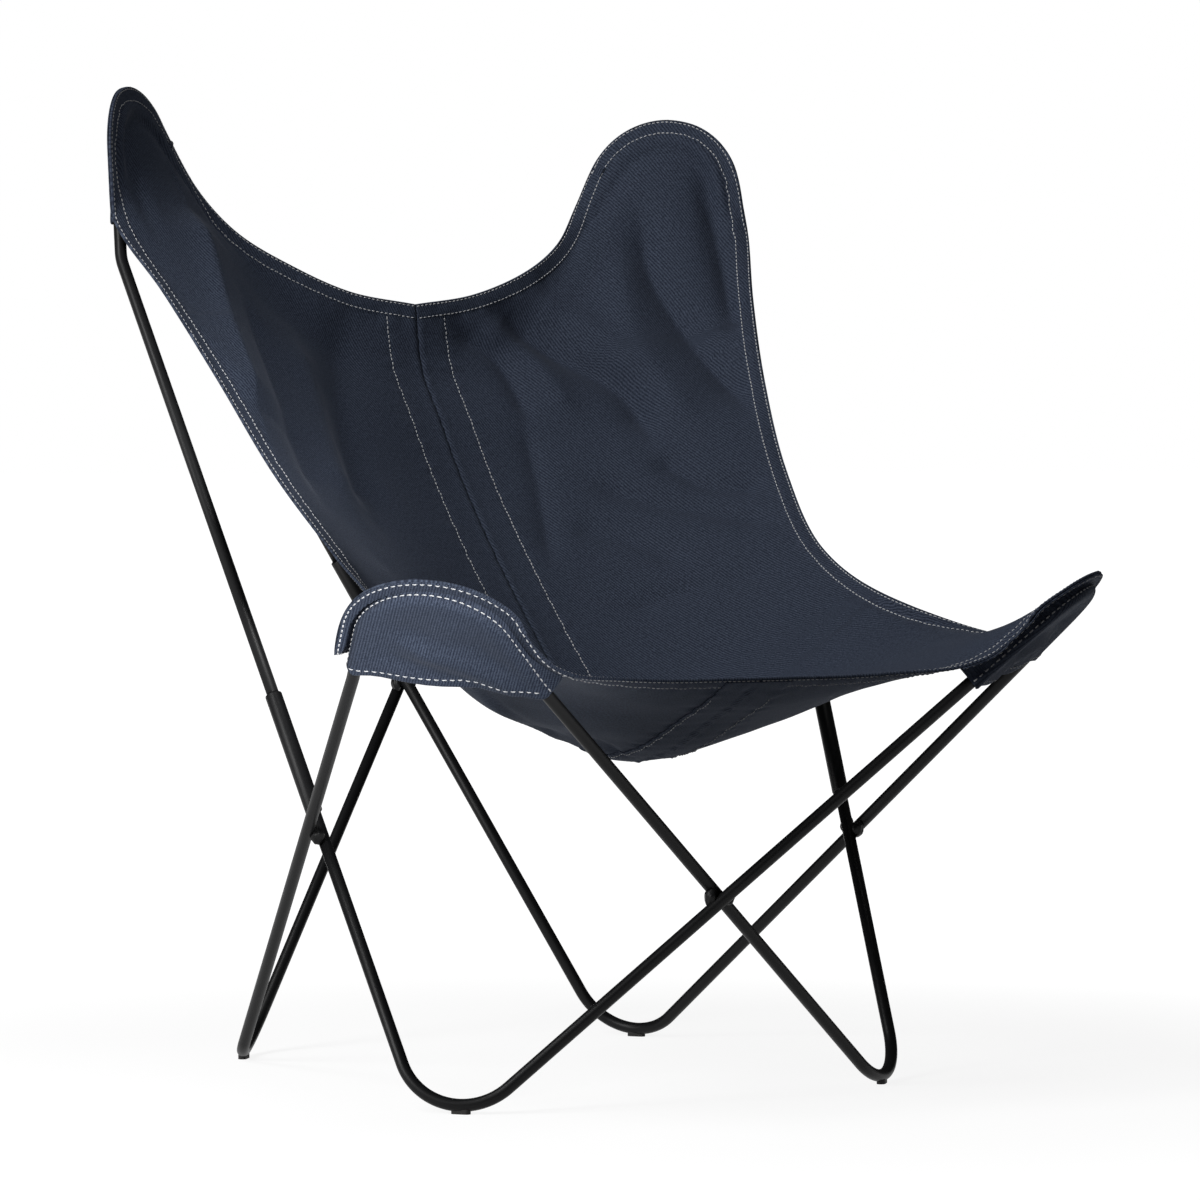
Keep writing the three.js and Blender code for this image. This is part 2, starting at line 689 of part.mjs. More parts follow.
// Evenly spaced points on the stretch of a curve between two of its own parameters
function stretch(curve, from, to, cells) {
  const samples = [];
  for (let i = 0; i <= CURVE_SAMPLES; i += 1) {
    samples.push(curve.getPoint(from + (to - from) * i / CURVE_SAMPLES));
  }
  const lengths = [0];
  for (let i = 1; i <= CURVE_SAMPLES; i += 1) {
    lengths.push(lengths[i - 1] + samples[i].distanceTo(samples[i - 1]));
  }
  const spaced = [];
  let at = 0;
  for (let cell = 0; cell <= cells; cell += 1) {
    const wanted = lengths[CURVE_SAMPLES] * cell / cells;
    while (at < CURVE_SAMPLES - 1 && lengths[at + 1] < wanted) at += 1;
    const share = (wanted - lengths[at]) / (lengths[at + 1] - lengths[at]);
    spaced.push(between(samples[at], samples[at + 1], Math.min(share, 1)));
  }
  return spaced;
}

// A net in even tension: each point moves to the mean of its four neighbours plus its row's load.
// The load holds the row's centre point on the seam's line, and falls to nothing at the outer edge.
function relax(grid) {
  const neighbours = 4;
  const loads = grid.map(() => point(0, 0, 0));
  const sum = point(0, 0, 0);
  for (let round = 0; round < RELAX_ROUNDS; round += 1) {
    for (let row = 1; row < CELLS_DOWN; row += 1) {
      const centre = grid[row][0];
      sum.set(0, 0, 0).add(grid[row - 1][0]).add(grid[row + 1][0]).addScaledVector(grid[row][1], 2);
      sum.x = 0;
      const needed = centre.clone().multiplyScalar(neighbours).sub(sum);
      loads[row].lerp(needed, LOAD_PACE);
      for (let column = 1; column < CELLS_ACROSS; column += 1) {
        const share = column / CELLS_ACROSS;
        sum.set(0, 0, 0).add(grid[row - 1][column]).add(grid[row + 1][column]);
        sum.add(grid[row][column - 1]).add(grid[row][column + 1]);
        sum.addScaledVector(loads[row], (1 - share) * (1 - share) * (1 + 2 * share));
        grid[row][column].lerp(sum.divideScalar(neighbours), RELAX_PACE);
      }
    }
  }
}

// The mean normal of the quads round each point of a mid surface
function pointNormals(points, quads) {
  const normals = points.map(() => point(0, 0, 0));
  for (const quad of quads) {
    const [a, b, c, d] = quad.map((index) => points[index]);
    const normal = c.clone().sub(a).cross(d.clone().sub(b)).normalize();
    for (const index of quad) normals[index].add(normal);
  }
  return normals.map((normal) => normal.normalize());
}

function shifted(points, quads, distance) {
  const normals = pointNormals(points, quads);
  return points.map((p, index) => along(p, normals[index], distance));
}

// A mid surface thickened to a closed shell, with a wall along its open edges
function thicken(points, quads, thicknessAt, normals = pointNormals(points, quads)) {
  const count = points.length;
  const edges = new Map();
  const triangles = [];
  const addTriangle = (a, b, c) => {
    if (a !== b && b !== c && c !== a) triangles.push(a, b, c);
  };
  for (const quad of quads) {
    const [a, b, c, d] = quad;
    addTriangle(a, b, c);
    addTriangle(a, c, d);
    addTriangle(count + a, count + c, count + b);
    addTriangle(count + a, count + d, count + c);
    quad.forEach((index, i) => {
      const next = quad[(i + 1) % quad.length];
      const key = `${Math.min(index, next)}_${Math.max(index, next)}`;
      if (index !== next) edges.set(key, edges.has(key) ? null : [index, next]);
    });
  }
  for (const edge of edges.values()) {
    if (edge) {
      const [a, b] = edge;
      addTriangle(b, a, count + a);
      addTriangle(b, count + a, count + b);
    }
  }
  const positions = [1, -1].flatMap((sign) => points.flatMap((p, index) => (
    along(p, normals[index], sign * thicknessAt(index) / 2).toArray()
  )));
  const geometry = new THREE.BufferGeometry();
  geometry.setAttribute('position', new THREE.Float32BufferAttribute(positions, 3));
  geometry.setIndex(triangles);
  return geometry;
}

function panelGeometry(grid, side) {
  const columns = CELLS_ACROSS + 1;
  const points = grid.flat().map((p, index) => (
    point((index % columns ? p.x : p.x - SEAM_GAP / 2) * side, p.y, p.z)
  ));
  const quads = [];
  for (let row = 0; row < CELLS_DOWN; row += 1) {
    for (let column = 0; column < CELLS_ACROSS; column += 1) {
      const a = row * columns + column;
      const quad = [a, a + 1, a + columns + 1, a + columns];
      quads.push(side > 0 ? quad.reverse() : quad);
    }
  }
  const onHem = (index) => {
    const row = Math.floor(index / columns);
    const column = index % columns;
    return column === CELLS_ACROSS || row === 0 || row === CELLS_DOWN;
  };
  const normals = pointNormals(points, quads);
  for (let row = 0; row <= CELLS_DOWN; row += 1) normals[row * columns].setX(0).normalize();
  return thicken(points, quads, (index) => (onHem(index) ? HEM_THICKNESS : CLOTH_THICKNESS), normals);
}

// The band under the centre seam, from hem to hem, follows the panels half its width to either side
function bandGeometry(leftGrid, rightGrid) {
  const rows = leftGrid.slice(1, CELLS_DOWN);
  const points = rows.flatMap((line, row) => {
    const places = [];
    for (let cell = 0; cell <= BAND_CELLS; cell += 1) {
      const away = BAND_WIDTH * (0.5 - cell / BAND_CELLS);
      const onRight = away < 0;
      const p = alongLine(onRight ? rightGrid[row + 1] : line, Math.abs(away));
      places.push(onRight ? mirrored(p) : p);
    }
    return places;
  });
  const columns = BAND_CELLS + 1;
  const quads = [];
  for (let row = 0; row < rows.length - 1; row += 1) {
    for (let column = 0; column < BAND_CELLS; column += 1) {
      const a = row * columns + column;
      quads.push([a, a + columns, a + columns + 1, a + 1]);
    }
  }
  const drop = CLOTH_THICKNESS / 2 + LAYER_GAP + BAND_THICKNESS / 2;
  return thicken(shifted(points, quads, -drop), quads, () => BAND_THICKNESS);
}

// The point at a distance along a row of the mesh
function alongLine(line, distance) {
  let rest = distance;
  let cell = 0;
  while (rest > line[cell].distanceTo(line[cell + 1])) {
    rest -= line[cell].distanceTo(line[cell + 1]);
    cell += 1;
  }
  return along(line[cell], direction(line[cell], line[cell + 1]), rest);
}

// A pocket is the under layer of an ear: sewn to the sling along its flange, round the rod's outside,
// then flat under the ear as far as its mouth. Its mesh has a row for each station along the rod.
const pocketSideSteps = 3;
const pocketBendSteps = 16;
const pocketInwardShares = [0.35, 0.7];

function pocketGeometry(place, pocket, side) {
  const under = rodRadius + POCKET_SLACK + POCKET_THICKNESS / 2;
  const layers = (HEM_THICKNESS + POCKET_THICKNESS) / 2 + LAYER_GAP;
  const section = (dip) => {
    const flange = flangeLift - layers * Math.hypot(1, (FLANGE_DIP + dip) / HEM_WIDTH);
    return [
      [earMargin, flange - dip],
      [under + POCKET_THICKNESS, flange - dip * POCKET_THICKNESS / HEM_WIDTH],
      [under, -rodRadius / 2],
      [rodRadius / 2, -under],
      [-rodRadius, -under],
    ];
  };
  const stations = pocketStations(place, pocket);
  const columns = section(0).length + pocketInwardShares.length;
  const points = [];
  for (const { beside, spine, dipShare } of stations) {
    const row = section(pocket.outerDip * dipShare).map(([margin, lift]) => beside(margin, lift));
    const start = row[row.length - 1];
    const inward = pocketInwardShares.map((share) => between(start, onEar(place, 0, spine, -under), share));
    points.push(...row, ...inward);
  }
  const spineStart = points.length;
  for (let step = 0; step <= pocketSideSteps; step += 1) {
    points.push(onEar(place, 0, stations[step].spine, -under));
  }
  const last = stations.length - 1;
  const spineOf = (row) => spineStart + Math.min(row, last - row, pocketSideSteps);
  const at = (row, column) => (column < columns ? row * columns + column : spineOf(row));
  const quads = [];
  for (let row = 0; row < last; row += 1) {
    for (let column = 0; column < columns; column += 1) {
      const quad = [at(row, column), at(row + 1, column), at(row + 1, column + 1), at(row, column + 1)];
      quads.push(side > 0 ? quad : quad.reverse());
    }
  }
  const placed = points.map((p) => point(p.x * side, p.y, p.z));
  return thicken(placed, quads, () => POCKET_THICKNESS);
}

// Stations along an ear's rod from the mouth's outer end to its inner end. The mouth is lower at
// the rod than at the flange, which starts where the sling's own edge joins the ear.
function pocketStations(place, { outerMouth, innerMouth, hemStart }) {
  const stations = [];
  const sideStation = (step, sign) => {
    const mouths = [sign < 0 ? outerMouth : innerMouth, (outerMouth + innerMouth) / 2, hemStart];
    const [rod, spine, flange] = mouths.map((from) => (
      THREE.MathUtils.lerp(from, place.bendHeight, step / pocketSideSteps)
    ));
    const riseAt = (margin) => THREE.MathUtils.lerp(rod, flange, Math.max(margin, 0) / earMargin);
    const beside = (margin, lift) => besideSide(place, riseAt(margin), sign, margin, lift);
    const dipShare = THREE.MathUtils.lerp(hemStartDipShare, 1, step / pocketSideSteps);
    return { beside, spine, dipShare: sign < 0 ? dipShare : 0 };
  };
  for (let step = 0; step < pocketSideSteps; step += 1) stations.push(sideStation(step, -1));
  for (let step = 0; step <= pocketBendSteps; step += 1) {
    const share = 2 * step / pocketBendSteps - 1;
    const angle = bendAngle(place, share);
    stations.push({
      beside: (margin, lift) => besideBend(place, angle, margin, lift),
      spine: place.bendHeight,
      dipShare: Math.max(-share, 0),
    });
  }
  for (let step = pocketSideSteps - 1; step >= 0; step -= 1) stations.push(sideStation(step, 1));
  return stations;
}

// Assembly
const paint = new THREE.MeshStandardMaterial({ color: 0x17181a, roughness: 0.38, metalness: 0.15 });
const rubber = new THREE.MeshStandardMaterial({ color: 0x101010, roughness: 0.8, metalness: 0 });
const canvas = new THREE.MeshStandardMaterial({ color: 0x2b3242, roughness: 0.92, metalness: 0 });

const chair = new THREE.Group();

function add(name, geometry, material) {
  const mesh = new THREE.Mesh(geometry, material.clone());
  mesh.name = name;
  chair.add(mesh);
  return mesh;
}

for (const [side, left, right] of [[1, 'left', 'right'], [-1, 'right', 'left']]) {
  add(`base_rod_${left}`, rodGeometry(baseRodCorners(side), baseRodRadii), paint);
  add(`back_loop_${right}`, rodGeometry(backLoopCorners(side), backLoopRadii), paint);
  const sleeves = [
    [`sleeve_inner_${right}`, rearFoot, rearInner, sleeveStart.inner],
    [`sleeve_outer_${right}`, frontFoot, rearOuter, sleeveStart.outer],
  ];
  for (const [name, foot, top, start] of sleeves) {
    const heading = direction(onSide(foot, side), onSide(top, side));
    const sleeve = add(name, sleeveGeometry(), paint);
    sleeve.position.copy(along(onSide(foot, side), heading, start));
    sleeve.quaternion.setFromUnitVectors(LATHE_AXIS, heading);
  }
  add(`foot_pad_rear_${left}`, padGeometry(rearInner, rearFoot, frontOuter, side), rubber);
  add(`foot_pad_front_${right}`, padGeometry(frontInner, frontFoot, rearOuter, side), rubber);
}

for (const [name, cross] of Object.entries(crossings)) {
  add(`weld_${name}_a`, beadGeometry(cross, 1), paint);
  add(`weld_${name}_b`, beadGeometry(cross, -1), paint);
}

const halves = { left: slingHalf(1), right: slingHalf(-1) };
add('seam_band', bandGeometry(halves.left, halves.right), canvas);
for (const [side, name] of [[1, 'left'], [-1, 'right']]) {
  const ears = earsOnSide(side);
  add(`sling_panel_${name}`, panelGeometry(halves[name], side), canvas);
  add(`pocket_front_${name}`, pocketGeometry(ears.front, FRONT_POCKET, side), canvas);
  add(`pocket_rear_${name}`, pocketGeometry(ears.rear, REAR_POCKET, side), canvas);
}

// The origin goes to the floor under the middle of the whole
chair.updateMatrixWorld(true);
const bounds = new THREE.Box3().setFromObject(chair, true);
const centre = bounds.getCenter(point(0, 0, 0));
chair.position.set(-centre.x, -centre.y, -bounds.min.z);

export default chair;
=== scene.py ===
# Butterfly sling chair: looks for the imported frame. Sizes are in millimetres until a mesh is made.
import math

import bmesh
import bpy
import numpy as np
from mathutils import Matrix, Vector, noise
from mathutils.bvhtree import BVHTree


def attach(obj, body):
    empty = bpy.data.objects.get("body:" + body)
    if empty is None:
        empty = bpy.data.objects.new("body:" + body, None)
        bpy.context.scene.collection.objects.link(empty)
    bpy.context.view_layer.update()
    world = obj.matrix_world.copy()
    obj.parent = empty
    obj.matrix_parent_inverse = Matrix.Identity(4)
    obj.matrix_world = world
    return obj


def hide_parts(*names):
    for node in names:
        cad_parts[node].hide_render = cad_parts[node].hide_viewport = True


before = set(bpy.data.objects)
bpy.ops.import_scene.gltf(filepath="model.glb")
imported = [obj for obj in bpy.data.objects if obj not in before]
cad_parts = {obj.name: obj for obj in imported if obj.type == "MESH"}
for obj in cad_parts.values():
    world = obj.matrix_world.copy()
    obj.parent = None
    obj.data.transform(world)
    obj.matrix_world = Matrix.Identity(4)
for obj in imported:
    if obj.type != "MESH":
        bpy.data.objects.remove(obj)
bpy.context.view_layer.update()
MM = 0.001
UP = np.array((0.0, 0.0, 1.0))
MIRROR = np.array((-1, 1, 1))

# The camera stands where the photograph was taken from; its turn is azimuth, elevation and roll in degrees
CAMERA_TURN = (-29.24, 1.83, 0.14)
CAMERA_EYE = (-2422.9, -4426.5, 606.9)
FOCAL_PIXELS, PHOTO_PIXELS, SENSOR = 5343.49, 1200, 36

# Sizes of the frame, shared with the part's source
ROD_RADIUS = 5.75
SEAT_GAP = 0.3
LOOP_STAGGER = 12.8
FRAME_SHIFT = 33.06
FRONT_KINKS = {"outer": (-343, -278, 390), "inner": (-226, -395, 390)}
REAR_KINKS = {"outer": (-342, 228, 767), "inner": (-228, 362, 767)}
FRONT_EAR = {"lean": 47, "reach": 106, "radius": 65, "skew": -3}
REAR_EAR = {"lean": 6, "radius": 59, "skew": 10}
REAR_REACH = {"left": 148, "right": 135}
FOOT = {"rear": 428, "front": 503, "depth": 485, "bend": 60}
KINK_RADIUS = 45
PAD_UNDER = 2
SLEEVE = {"length": 122, "wall": 1.75, "chamfer": 0.9, "above": 14}
# The sleeve's rounded end: (outward, inward along the sleeve) in chamfers
SLEEVE_END = ((-1.3, 0), (-0.9, 0.2), (-0.3, 0.6), (0, 1.4))
ROD_END_GAP = 0.6
BEAD = {"length": 17, "width": 10, "depth": 13}
# How finely the rods, sleeves and beads are made here
BEND_STEP = math.radians(2.5)
TUBE_SIDES, SLEEVE_SIDES, BEAD_SIDES, BEAD_RINGS = 28, 48, 28, 22

# Sizes of the cloth, shared with the part's source
CLOTH, HEM, HEM_WIDTH = 1.6, 3.0, 15.0
TOP_CENTRE = np.array((0.0, 277, 730))
SEAT_LOW = np.array((0.0, -156, 304))
FRONT_CENTRE = np.array((0.0, -391, 388))
SIDE_EDGE_BOW = 90
FLANGE_DIP = 5
FRONT_POCKET = {"outer": 13, "inner": -15, "hem_start": 30, "hem_end": -8, "spread": 26, "dip": 0, "lift": 5}
REAR_POCKET = {"outer": 34, "inner": 34, "hem_start": 40, "hem_end": 40, "spread": 0, "dip": 12, "lift": 14}
HEM_START_DIP = 0.3
POCKET, POCKET_SLACK = 1.4, 1.0
BAND_WIDTH, BAND = 68, 1.2
ACROSS, DOWN = 17, 33
MARGIN = ROD_RADIUS + HEM_WIDTH
SLING_LIFT = ROD_RADIUS + SEAT_GAP + HEM / 2
FLANGE_LIFT = SLING_LIFT - FLANGE_DIP

# The sling's outline between its corners: each point's shares of the way there, across, deep and up.
# A side's point has its shares deep and up and its share of the side's bow; a seam's point, deep and up.
TOP_SHARES = ((0.28, 0.1, 0.07), (0.53, 0.2, 0.22), (0.74, 0.55, 0.42), (0.88, 0.9, 0.68))
SIDE_SHARES = ((0.11, 0.18, 0.32), (0.24, 0.39, 0.63), (0.39, 0.61, 0.89), (0.58, 0.8, 1.1),
               (0.8, 0.915, 0.97))
FRONT_SHARES = ((0.07, 0.2, 0.5), (0.23, 0.5, 0.86), (0.46, 0.95, 0.96), (0.66, 1.1, 1), (0.84, 1.05, 1))
EAR_SHARES = (-0.92, -0.6, -0.3, 0, 0.3, 0.6, 0.92)
SEAM_BACK = ((0.035, 0.15), (0.125, 0.268), (0.222, 0.394), (0.39, 0.573), (0.53, 0.704), (0.677, 0.833),
             (0.815, 0.939), (0.91, 0.981))
SEAM_FRONT = ((0.33, 0.17), (0.62, 0.51), (0.84, 0.76))

# The fine mesh of a half: its lines' places in a coarse cell, closer by the hems and the seam
FINE = 6
SEAM_PLACES = (0.03, 0.07, 0.12, 0.2, 0.3, 0.4, 0.5, 0.6, 0.7, 0.8, 0.9, 1)
HEM_PLACES = (
    (0.09, 0.18, 0.28, 0.45, 0.65, 0.82, 0.92, 1),
    (0.05, 0.12, 0.2, 0.3, 0.42, 0.56, 0.7, 0.85, 1),
    (0.12, 0.25, 0.38, 0.5, 0.62, 0.75, 0.88, 1),
)
EAR_CELLS = 6

# Folds: (height towards the sitter, half width, roundness, places as shares across and down).
# A fold with two half widths has a flank towards the side and one towards the seam.
FOLDS = {
    "left": (
        (19, (26, 46), 1.1, ((0.78, 0.08), (0.76, 0.13), (0.77, 0.19), (0.82, 0.28), (0.88, 0.37))),
        (-8, 20, 1.6, ((0.62, 0.14), (0.62, 0.22), (0.68, 0.33), (0.74, 0.44))),
        (-10, 24, 1.6, ((0.18, 0.04), (0.3, 0.14), (0.38, 0.23), (0.45, 0.36))),
        (7, 22, 1.8, ((0.45, 0.12), (0.47, 0.19), (0.52, 0.3), (0.55, 0.38))),
        (10, 42, 2, ((0.28, 0.69), (0.22, 0.73), (0.17, 0.78))),
        (-8, 42, 2, ((0.56, 0.62), (0.5, 0.69), (0.45, 0.75))),
    ),
    "right": (
        (-17, 20, 1.3, ((0.79, 0.06), (0.75, 0.12), (0.77, 0.19), (0.83, 0.27), (0.92, 0.37))),
        (8, 22, 1.7, ((0.7, 0.08), (0.65, 0.15), (0.66, 0.22), (0.72, 0.32))),
        (-11, 12, 1.3, ((0.92, 0.07), (0.91, 0.12), (0.91, 0.2), (0.92, 0.27))),
        (-8, 11, 1.4, ((0.11, 0.04), (0.23, 0.08), (0.27, 0.17))),
        (7, 15, 1.7, ((0.18, 0.04), (0.33, 0.1), (0.4, 0.2))),
        (-17, 17, 1.3, ((0.25, 0.04), (0.42, 0.12), (0.55, 0.21), (0.59, 0.29))),
        (6, 14, 1.7, ((0.35, 0.04), (0.52, 0.12), (0.62, 0.22))),
        (-10, 15, 1.3, ((0.58, 0.32), (0.7, 0.4), (0.88, 0.46))),
        (-9, 13, 1.3, ((0.38, 0.29), (0.53, 0.37), (0.86, 0.51))),
        (-6, 15, 1.4, ((0.27, 0.33), (0.42, 0.39), (0.52, 0.46))),
        (-6, 12, 1.4, ((0.25, 0.18), (0.23, 0.25), (0.17, 0.36))),
        (-4, 12, 1.4, ((0.3, 0.47), (0.5, 0.5), (0.74, 0.56))),
    ),
}
EAR_DIP = 4.5
INSIDE_LIFT = 3.0
CUT_RUN = 700
EDGE_LENGTH = 1900
# Puckers along rows of stitches: (pitch, wander, share)
BAND_PUCKERS = ((21, 5, 1), (13, 7, 0.6))
HEM_PUCKERS = ((24, 5, 1), (15, -4, 0.5))

# Rows of stitches, by their distance from the free edge or the seam
HEM_ROWS = (2.7, 14.3)
BAND_ROW = 32.5
MOUTH_ROW = 9
LONG_STITCH = {"pitch": 6.7, "length": 4.9, "width": 0.66}
FINE_STITCH = {"pitch": 4.7, "length": 3.8, "width": 0.52}
# A stitch is a row of rings: (share of its length, share of its width, height over the cloth)
STITCH_RINGS = (
    (-0.5, 0.45, -0.45), (-0.28, 0.95, 0.12), (0, 1, 0.34), (0.28, 0.95, 0.12), (0.5, 0.45, -0.45),
)
STITCH_SIDES, STITCH_FLATNESS = 6, 0.72
EDGE_POINTS = 700

# The band and the pockets
BAND_STEPS = 9
BAND_START = 3
BAND_ROW_START = 12
LAYER_SLACK = 0.1
FLANGE_MARGINS = (MARGIN - 0.4, 19.4, MARGIN - HEM_ROWS[0], 16.6, 14.6, 12.4, 10.2, 8.3, MARGIN - HEM_ROWS[1])
FLANGE_ROW = 2
FLANGE_STEP = 0.4
POCKET_TURN = tuple(math.radians(a) for a in (-17, -30, -44, -58, -74, -90))
POCKET_INWARD = (0, 0.12, 0.26, 0.42, 0.6, 0.8)
POCKET_SIDE_STEPS = 14
POCKET_BEND_STEPS = 72
POCKET_UNDER = ROD_RADIUS + POCKET_SLACK + POCKET / 2
PROBE_START, PROBE_REACH = 30, 70
# The front pockets' main crease, across and up the ear
WRINKLE = np.array(((-14, 44), (22, 26), (62, 2)))

# Widths that the sheets are cut at, in metres, and the spare in their length
SLING_CUT, POCKET_CUT, BAND_CUT, CUT_SPARE = 0.43, 0.23, 0.068, 1.1

# Looks: linear colours and the twill's pitch and slope
TWILL_PITCH, TWILL_SLOPE = 2.5, 0.42
NAVY = {"deep": (0.007, 0.010, 0.019), "pale": (0.062, 0.077, 0.112),
        "dull": (0.026, 0.035, 0.060), "bright": (0.036, 0.047, 0.076)}
THREAD = {"light": (0.66, 0.66, 0.66), "shade": (0.36, 0.37, 0.39), "soil": (0.30, 0.31, 0.34)}
PAINT = {"deep": (0.0045, 0.0047, 0.0052), "rubbed": (0.0085, 0.0086, 0.0092), "dust": (0.024, 0.024, 0.025)}
RUBBER = {"deep": (0.008, 0.008, 0.008), "scuffed": (0.022, 0.021, 0.020)}
WHITE = (1, 1, 1)

# Stage: the floor's white as the camera sees it and as light finds it, its glow, and the lamps
FLOOR_SEEN, FLOOR_LIT = (0.86, 0.86, 0.86), (0.16, 0.16, 0.16)
FLOOR_SIZE = 60
FLOOR_GLOW = 1.1
FLOOR_FADE = (("From Min", 0.5), ("From Max", 1.5), ("To Min", 0.8), ("To Max", 1.0))
WORLD_FILL = 0.06
CHAIR_MIDDLE = (0, 0, 0.5)
LAMPS = (
    {"name": "key", "azimuth": -74, "height": 1.7, "distance": 3.0, "size": 0.9, "power": 56},
    {"name": "high", "azimuth": -88, "height": 2.9, "distance": 2.1, "size": 0.9, "power": 28},
    {"name": "top", "azimuth": -10, "height": 3.5, "distance": 0.6, "size": 1.5, "power": 13},
    {"name": "low", "azimuth": -85, "height": 0.45, "distance": 1.6, "size": 0.4, "power": 5},
    {"name": "pocket", "azimuth": -12, "height": 0.2, "distance": 2.2, "size": 0.3, "power": 330,
     "target": (-0.39, -0.31, 0.43), "cone": 15},
)


# Small helpers
def unit(v):
    v = np.asarray(v, float)
    return v / np.maximum(np.linalg.norm(v, axis=-1, keepdims=True), 1e-12)


def smoothstep(x):
    x = np.clip(x, 0, 1)
    return x * x * (3 - 2 * x)


def bell(x, width, power=2):
    return np.exp(-(np.abs(x) / width) ** power)


def soft_max(a, b):
    return (a + b + np.sqrt((a - b) ** 2 + 1)) / 2


def side_name(side):
    return "left" if side > 0 else "right"


def place_side(points, side):
    return points * np.array((side, 1, 1))


def broad_noise(points, size, seed):
    """Smooth noise between about -1 and 1, the same on each run."""
    return np.array([noise.noise(p.tolist()) for p in points / size + seed * 17.3])


def smoothed(rows, times):
    rows = np.array(rows)
    for _ in range(times):
        rows[1:-1] = (rows[:-2] + 2 * rows[1:-1] + rows[2:]) / 4
    return rows


# Lines
def run_along(line):
    """The length along a line up to each of its points."""
    return np.r_[0, np.cumsum(np.linalg.norm(np.diff(line, axis=0), axis=1))]


def at_lengths(line, lengths, wanted):
    return np.stack([np.interp(wanted, lengths, line[:, k]) for k in range(3)], -1)


def resample(line, count=None, shares=None):
    """Points along a line at equal steps, or at shares of its length."""
    lengths = run_along(line)
    shares = np.linspace(0, 1, count + 1) if shares is None else np.asarray(shares)
    return at_lengths(line, lengths, shares * lengths[-1])


def smooth_curve(points, samples=2400):
    """A smooth curve through points, with even spacing by the square root of their distances."""
    p = np.asarray(points, float)
    ends = np.vstack((2 * p[0] - p[1], p, 2 * p[-1] - p[-2]))
    t = np.linspace(0, len(p) - 1, samples)
    i = np.minimum(t.astype(int), len(p) - 2)
    w = (t - i)[:, None]
    near = [ends[i + k] for k in range(4)]
    p0, p1, p2, p3 = near
    d0, d1, d2 = (np.sqrt(np.linalg.norm(b - a, axis=1))[:, None] for a, b in zip(near, near[1:]))
    t1 = ((p1 - p0) / d0 - (p2 - p0) / (d0 + d1) + (p2 - p1) / d1) * d1
    t2 = ((p2 - p1) / d1 - (p3 - p1) / (d1 + d2) + (p3 - p2) / d2) * d1
    c2 = -3 * p1 + 3 * p2 - 2 * t1 - t2
    c3 = 2 * p1 - 2 * p2 + t1 + t2
    return t, p1 + t1 * w + c2 * w ** 2 + c3 * w ** 3


def line_distance(points, line):
    """Distance from each point to a polyline, and the place along it."""
    best = np.full(len(points), 1e9)
    place = np.zeros(len(points))
    start = run_along(line)
    for i in range(len(line) - 1):
        d = line[i + 1] - line[i]
        s = np.clip(((points - line[i]) @ d) / max(d @ d, 1e-12), 0, 1)
        gap = np.linalg.norm(points - (line[i] + s[:, None] * d), axis=1)
        closer = gap < best
        best = np.where(closer, gap, best)
        place = np.where(closer, start[i] + s * (start[i + 1] - start[i]), place)
    return best, place / start[-1]


# Meshes
def new_object(name, points, faces, material, uvs=None):
    """A smooth mesh object from points in millimetres in the drawing's frame."""
    mesh = bpy.data.meshes.new(name)
    points = np.asarray(points, float) + np.array((0, FRAME_SHIFT, 0))
    mesh.from_pydata((points * MM).tolist(), [], faces)
    mesh.polygons.foreach_set("use_smooth", [True] * len(mesh.polygons))
    if uvs is not None:
        layer = mesh.uv_layers.new(name="flat")
        index = np.empty(len(mesh.loops), int)
        mesh.loops.foreach_get("vertex_index", index)
        layer.data.foreach_set("uv", (np.asarray(uvs)[index] * MM).ravel())
    mesh.validate()
    mesh.update()
    mesh.materials.append(material)
    return shown(name, mesh)


def shown(name, data):
    obj = bpy.data.objects.new(name, data)
    bpy.context.scene.collection.objects.link(obj)
    return obj


def ellipse(centre, a, b, sides):
    angles = [2 * math.pi * k / sides for k in range(sides)]
    return [centre + a * math.cos(t) + b * math.sin(t) for t in angles]


def ring_faces(rings, sides, base=0, around=False):
    """Quads between rings of points, one after another; around joins the last ring to the first."""
    faces = []
    for ring in range(rings if around else rings - 1):
        near, far = base + ring * sides, base + (ring + 1) % rings * sides
        for k in range(sides):
            after = (k + 1) % sides
            faces.append((near + k, near + after, far + after, far + k))
    return faces


def tube_faces(rings, sides, base=0):
    """The faces of a tube of rings, with both of its ends closed."""
    first = range(base, base + sides)
    last = range(base + (rings - 1) * sides, base + rings * sides)
    return [tuple(reversed(first)), *ring_faces(rings, sides, base), tuple(last)]


def quads_of(shape, flip=False):
    index = np.arange(shape[0] * shape[1]).reshape(shape)
    q = np.stack((index[:-1, :-1], index[:-1, 1:], index[1:, 1:], index[1:, :-1]), -1).reshape(-1, 4)
    return q[:, ::-1] if flip else q


def quad_area(points, quads):
    p = points[quads]
    return np.linalg.norm(np.cross(p[:, 2] - p[:, 0], p[:, 3] - p[:, 1]), axis=1).sum() / 2 * MM * MM


def vertex_normals(points, quads):
    p = points[quads]
    face = unit(np.cross(p[:, 2] - p[:, 0], p[:, 3] - p[:, 1]))
    normals = np.zeros_like(points)
    for k in range(4):
        once = quads[:, k] != quads[:, k - 1]
        np.add.at(normals, quads[once, k], face[once])
    return unit(normals)


def surface_finder(points, quads):
    return BVHTree.FromPolygons(np.reshape(points, (-1, 3)).tolist(), quads.tolist())


def snapped(tree, points):
    """Each point moved to the nearest place of a surface, with the surface's normal there."""
    found = [tree.find_nearest(Vector(p)) for p in points]
    return np.array([f[0][:] for f in found]), np.array([f[1][:] for f in found])


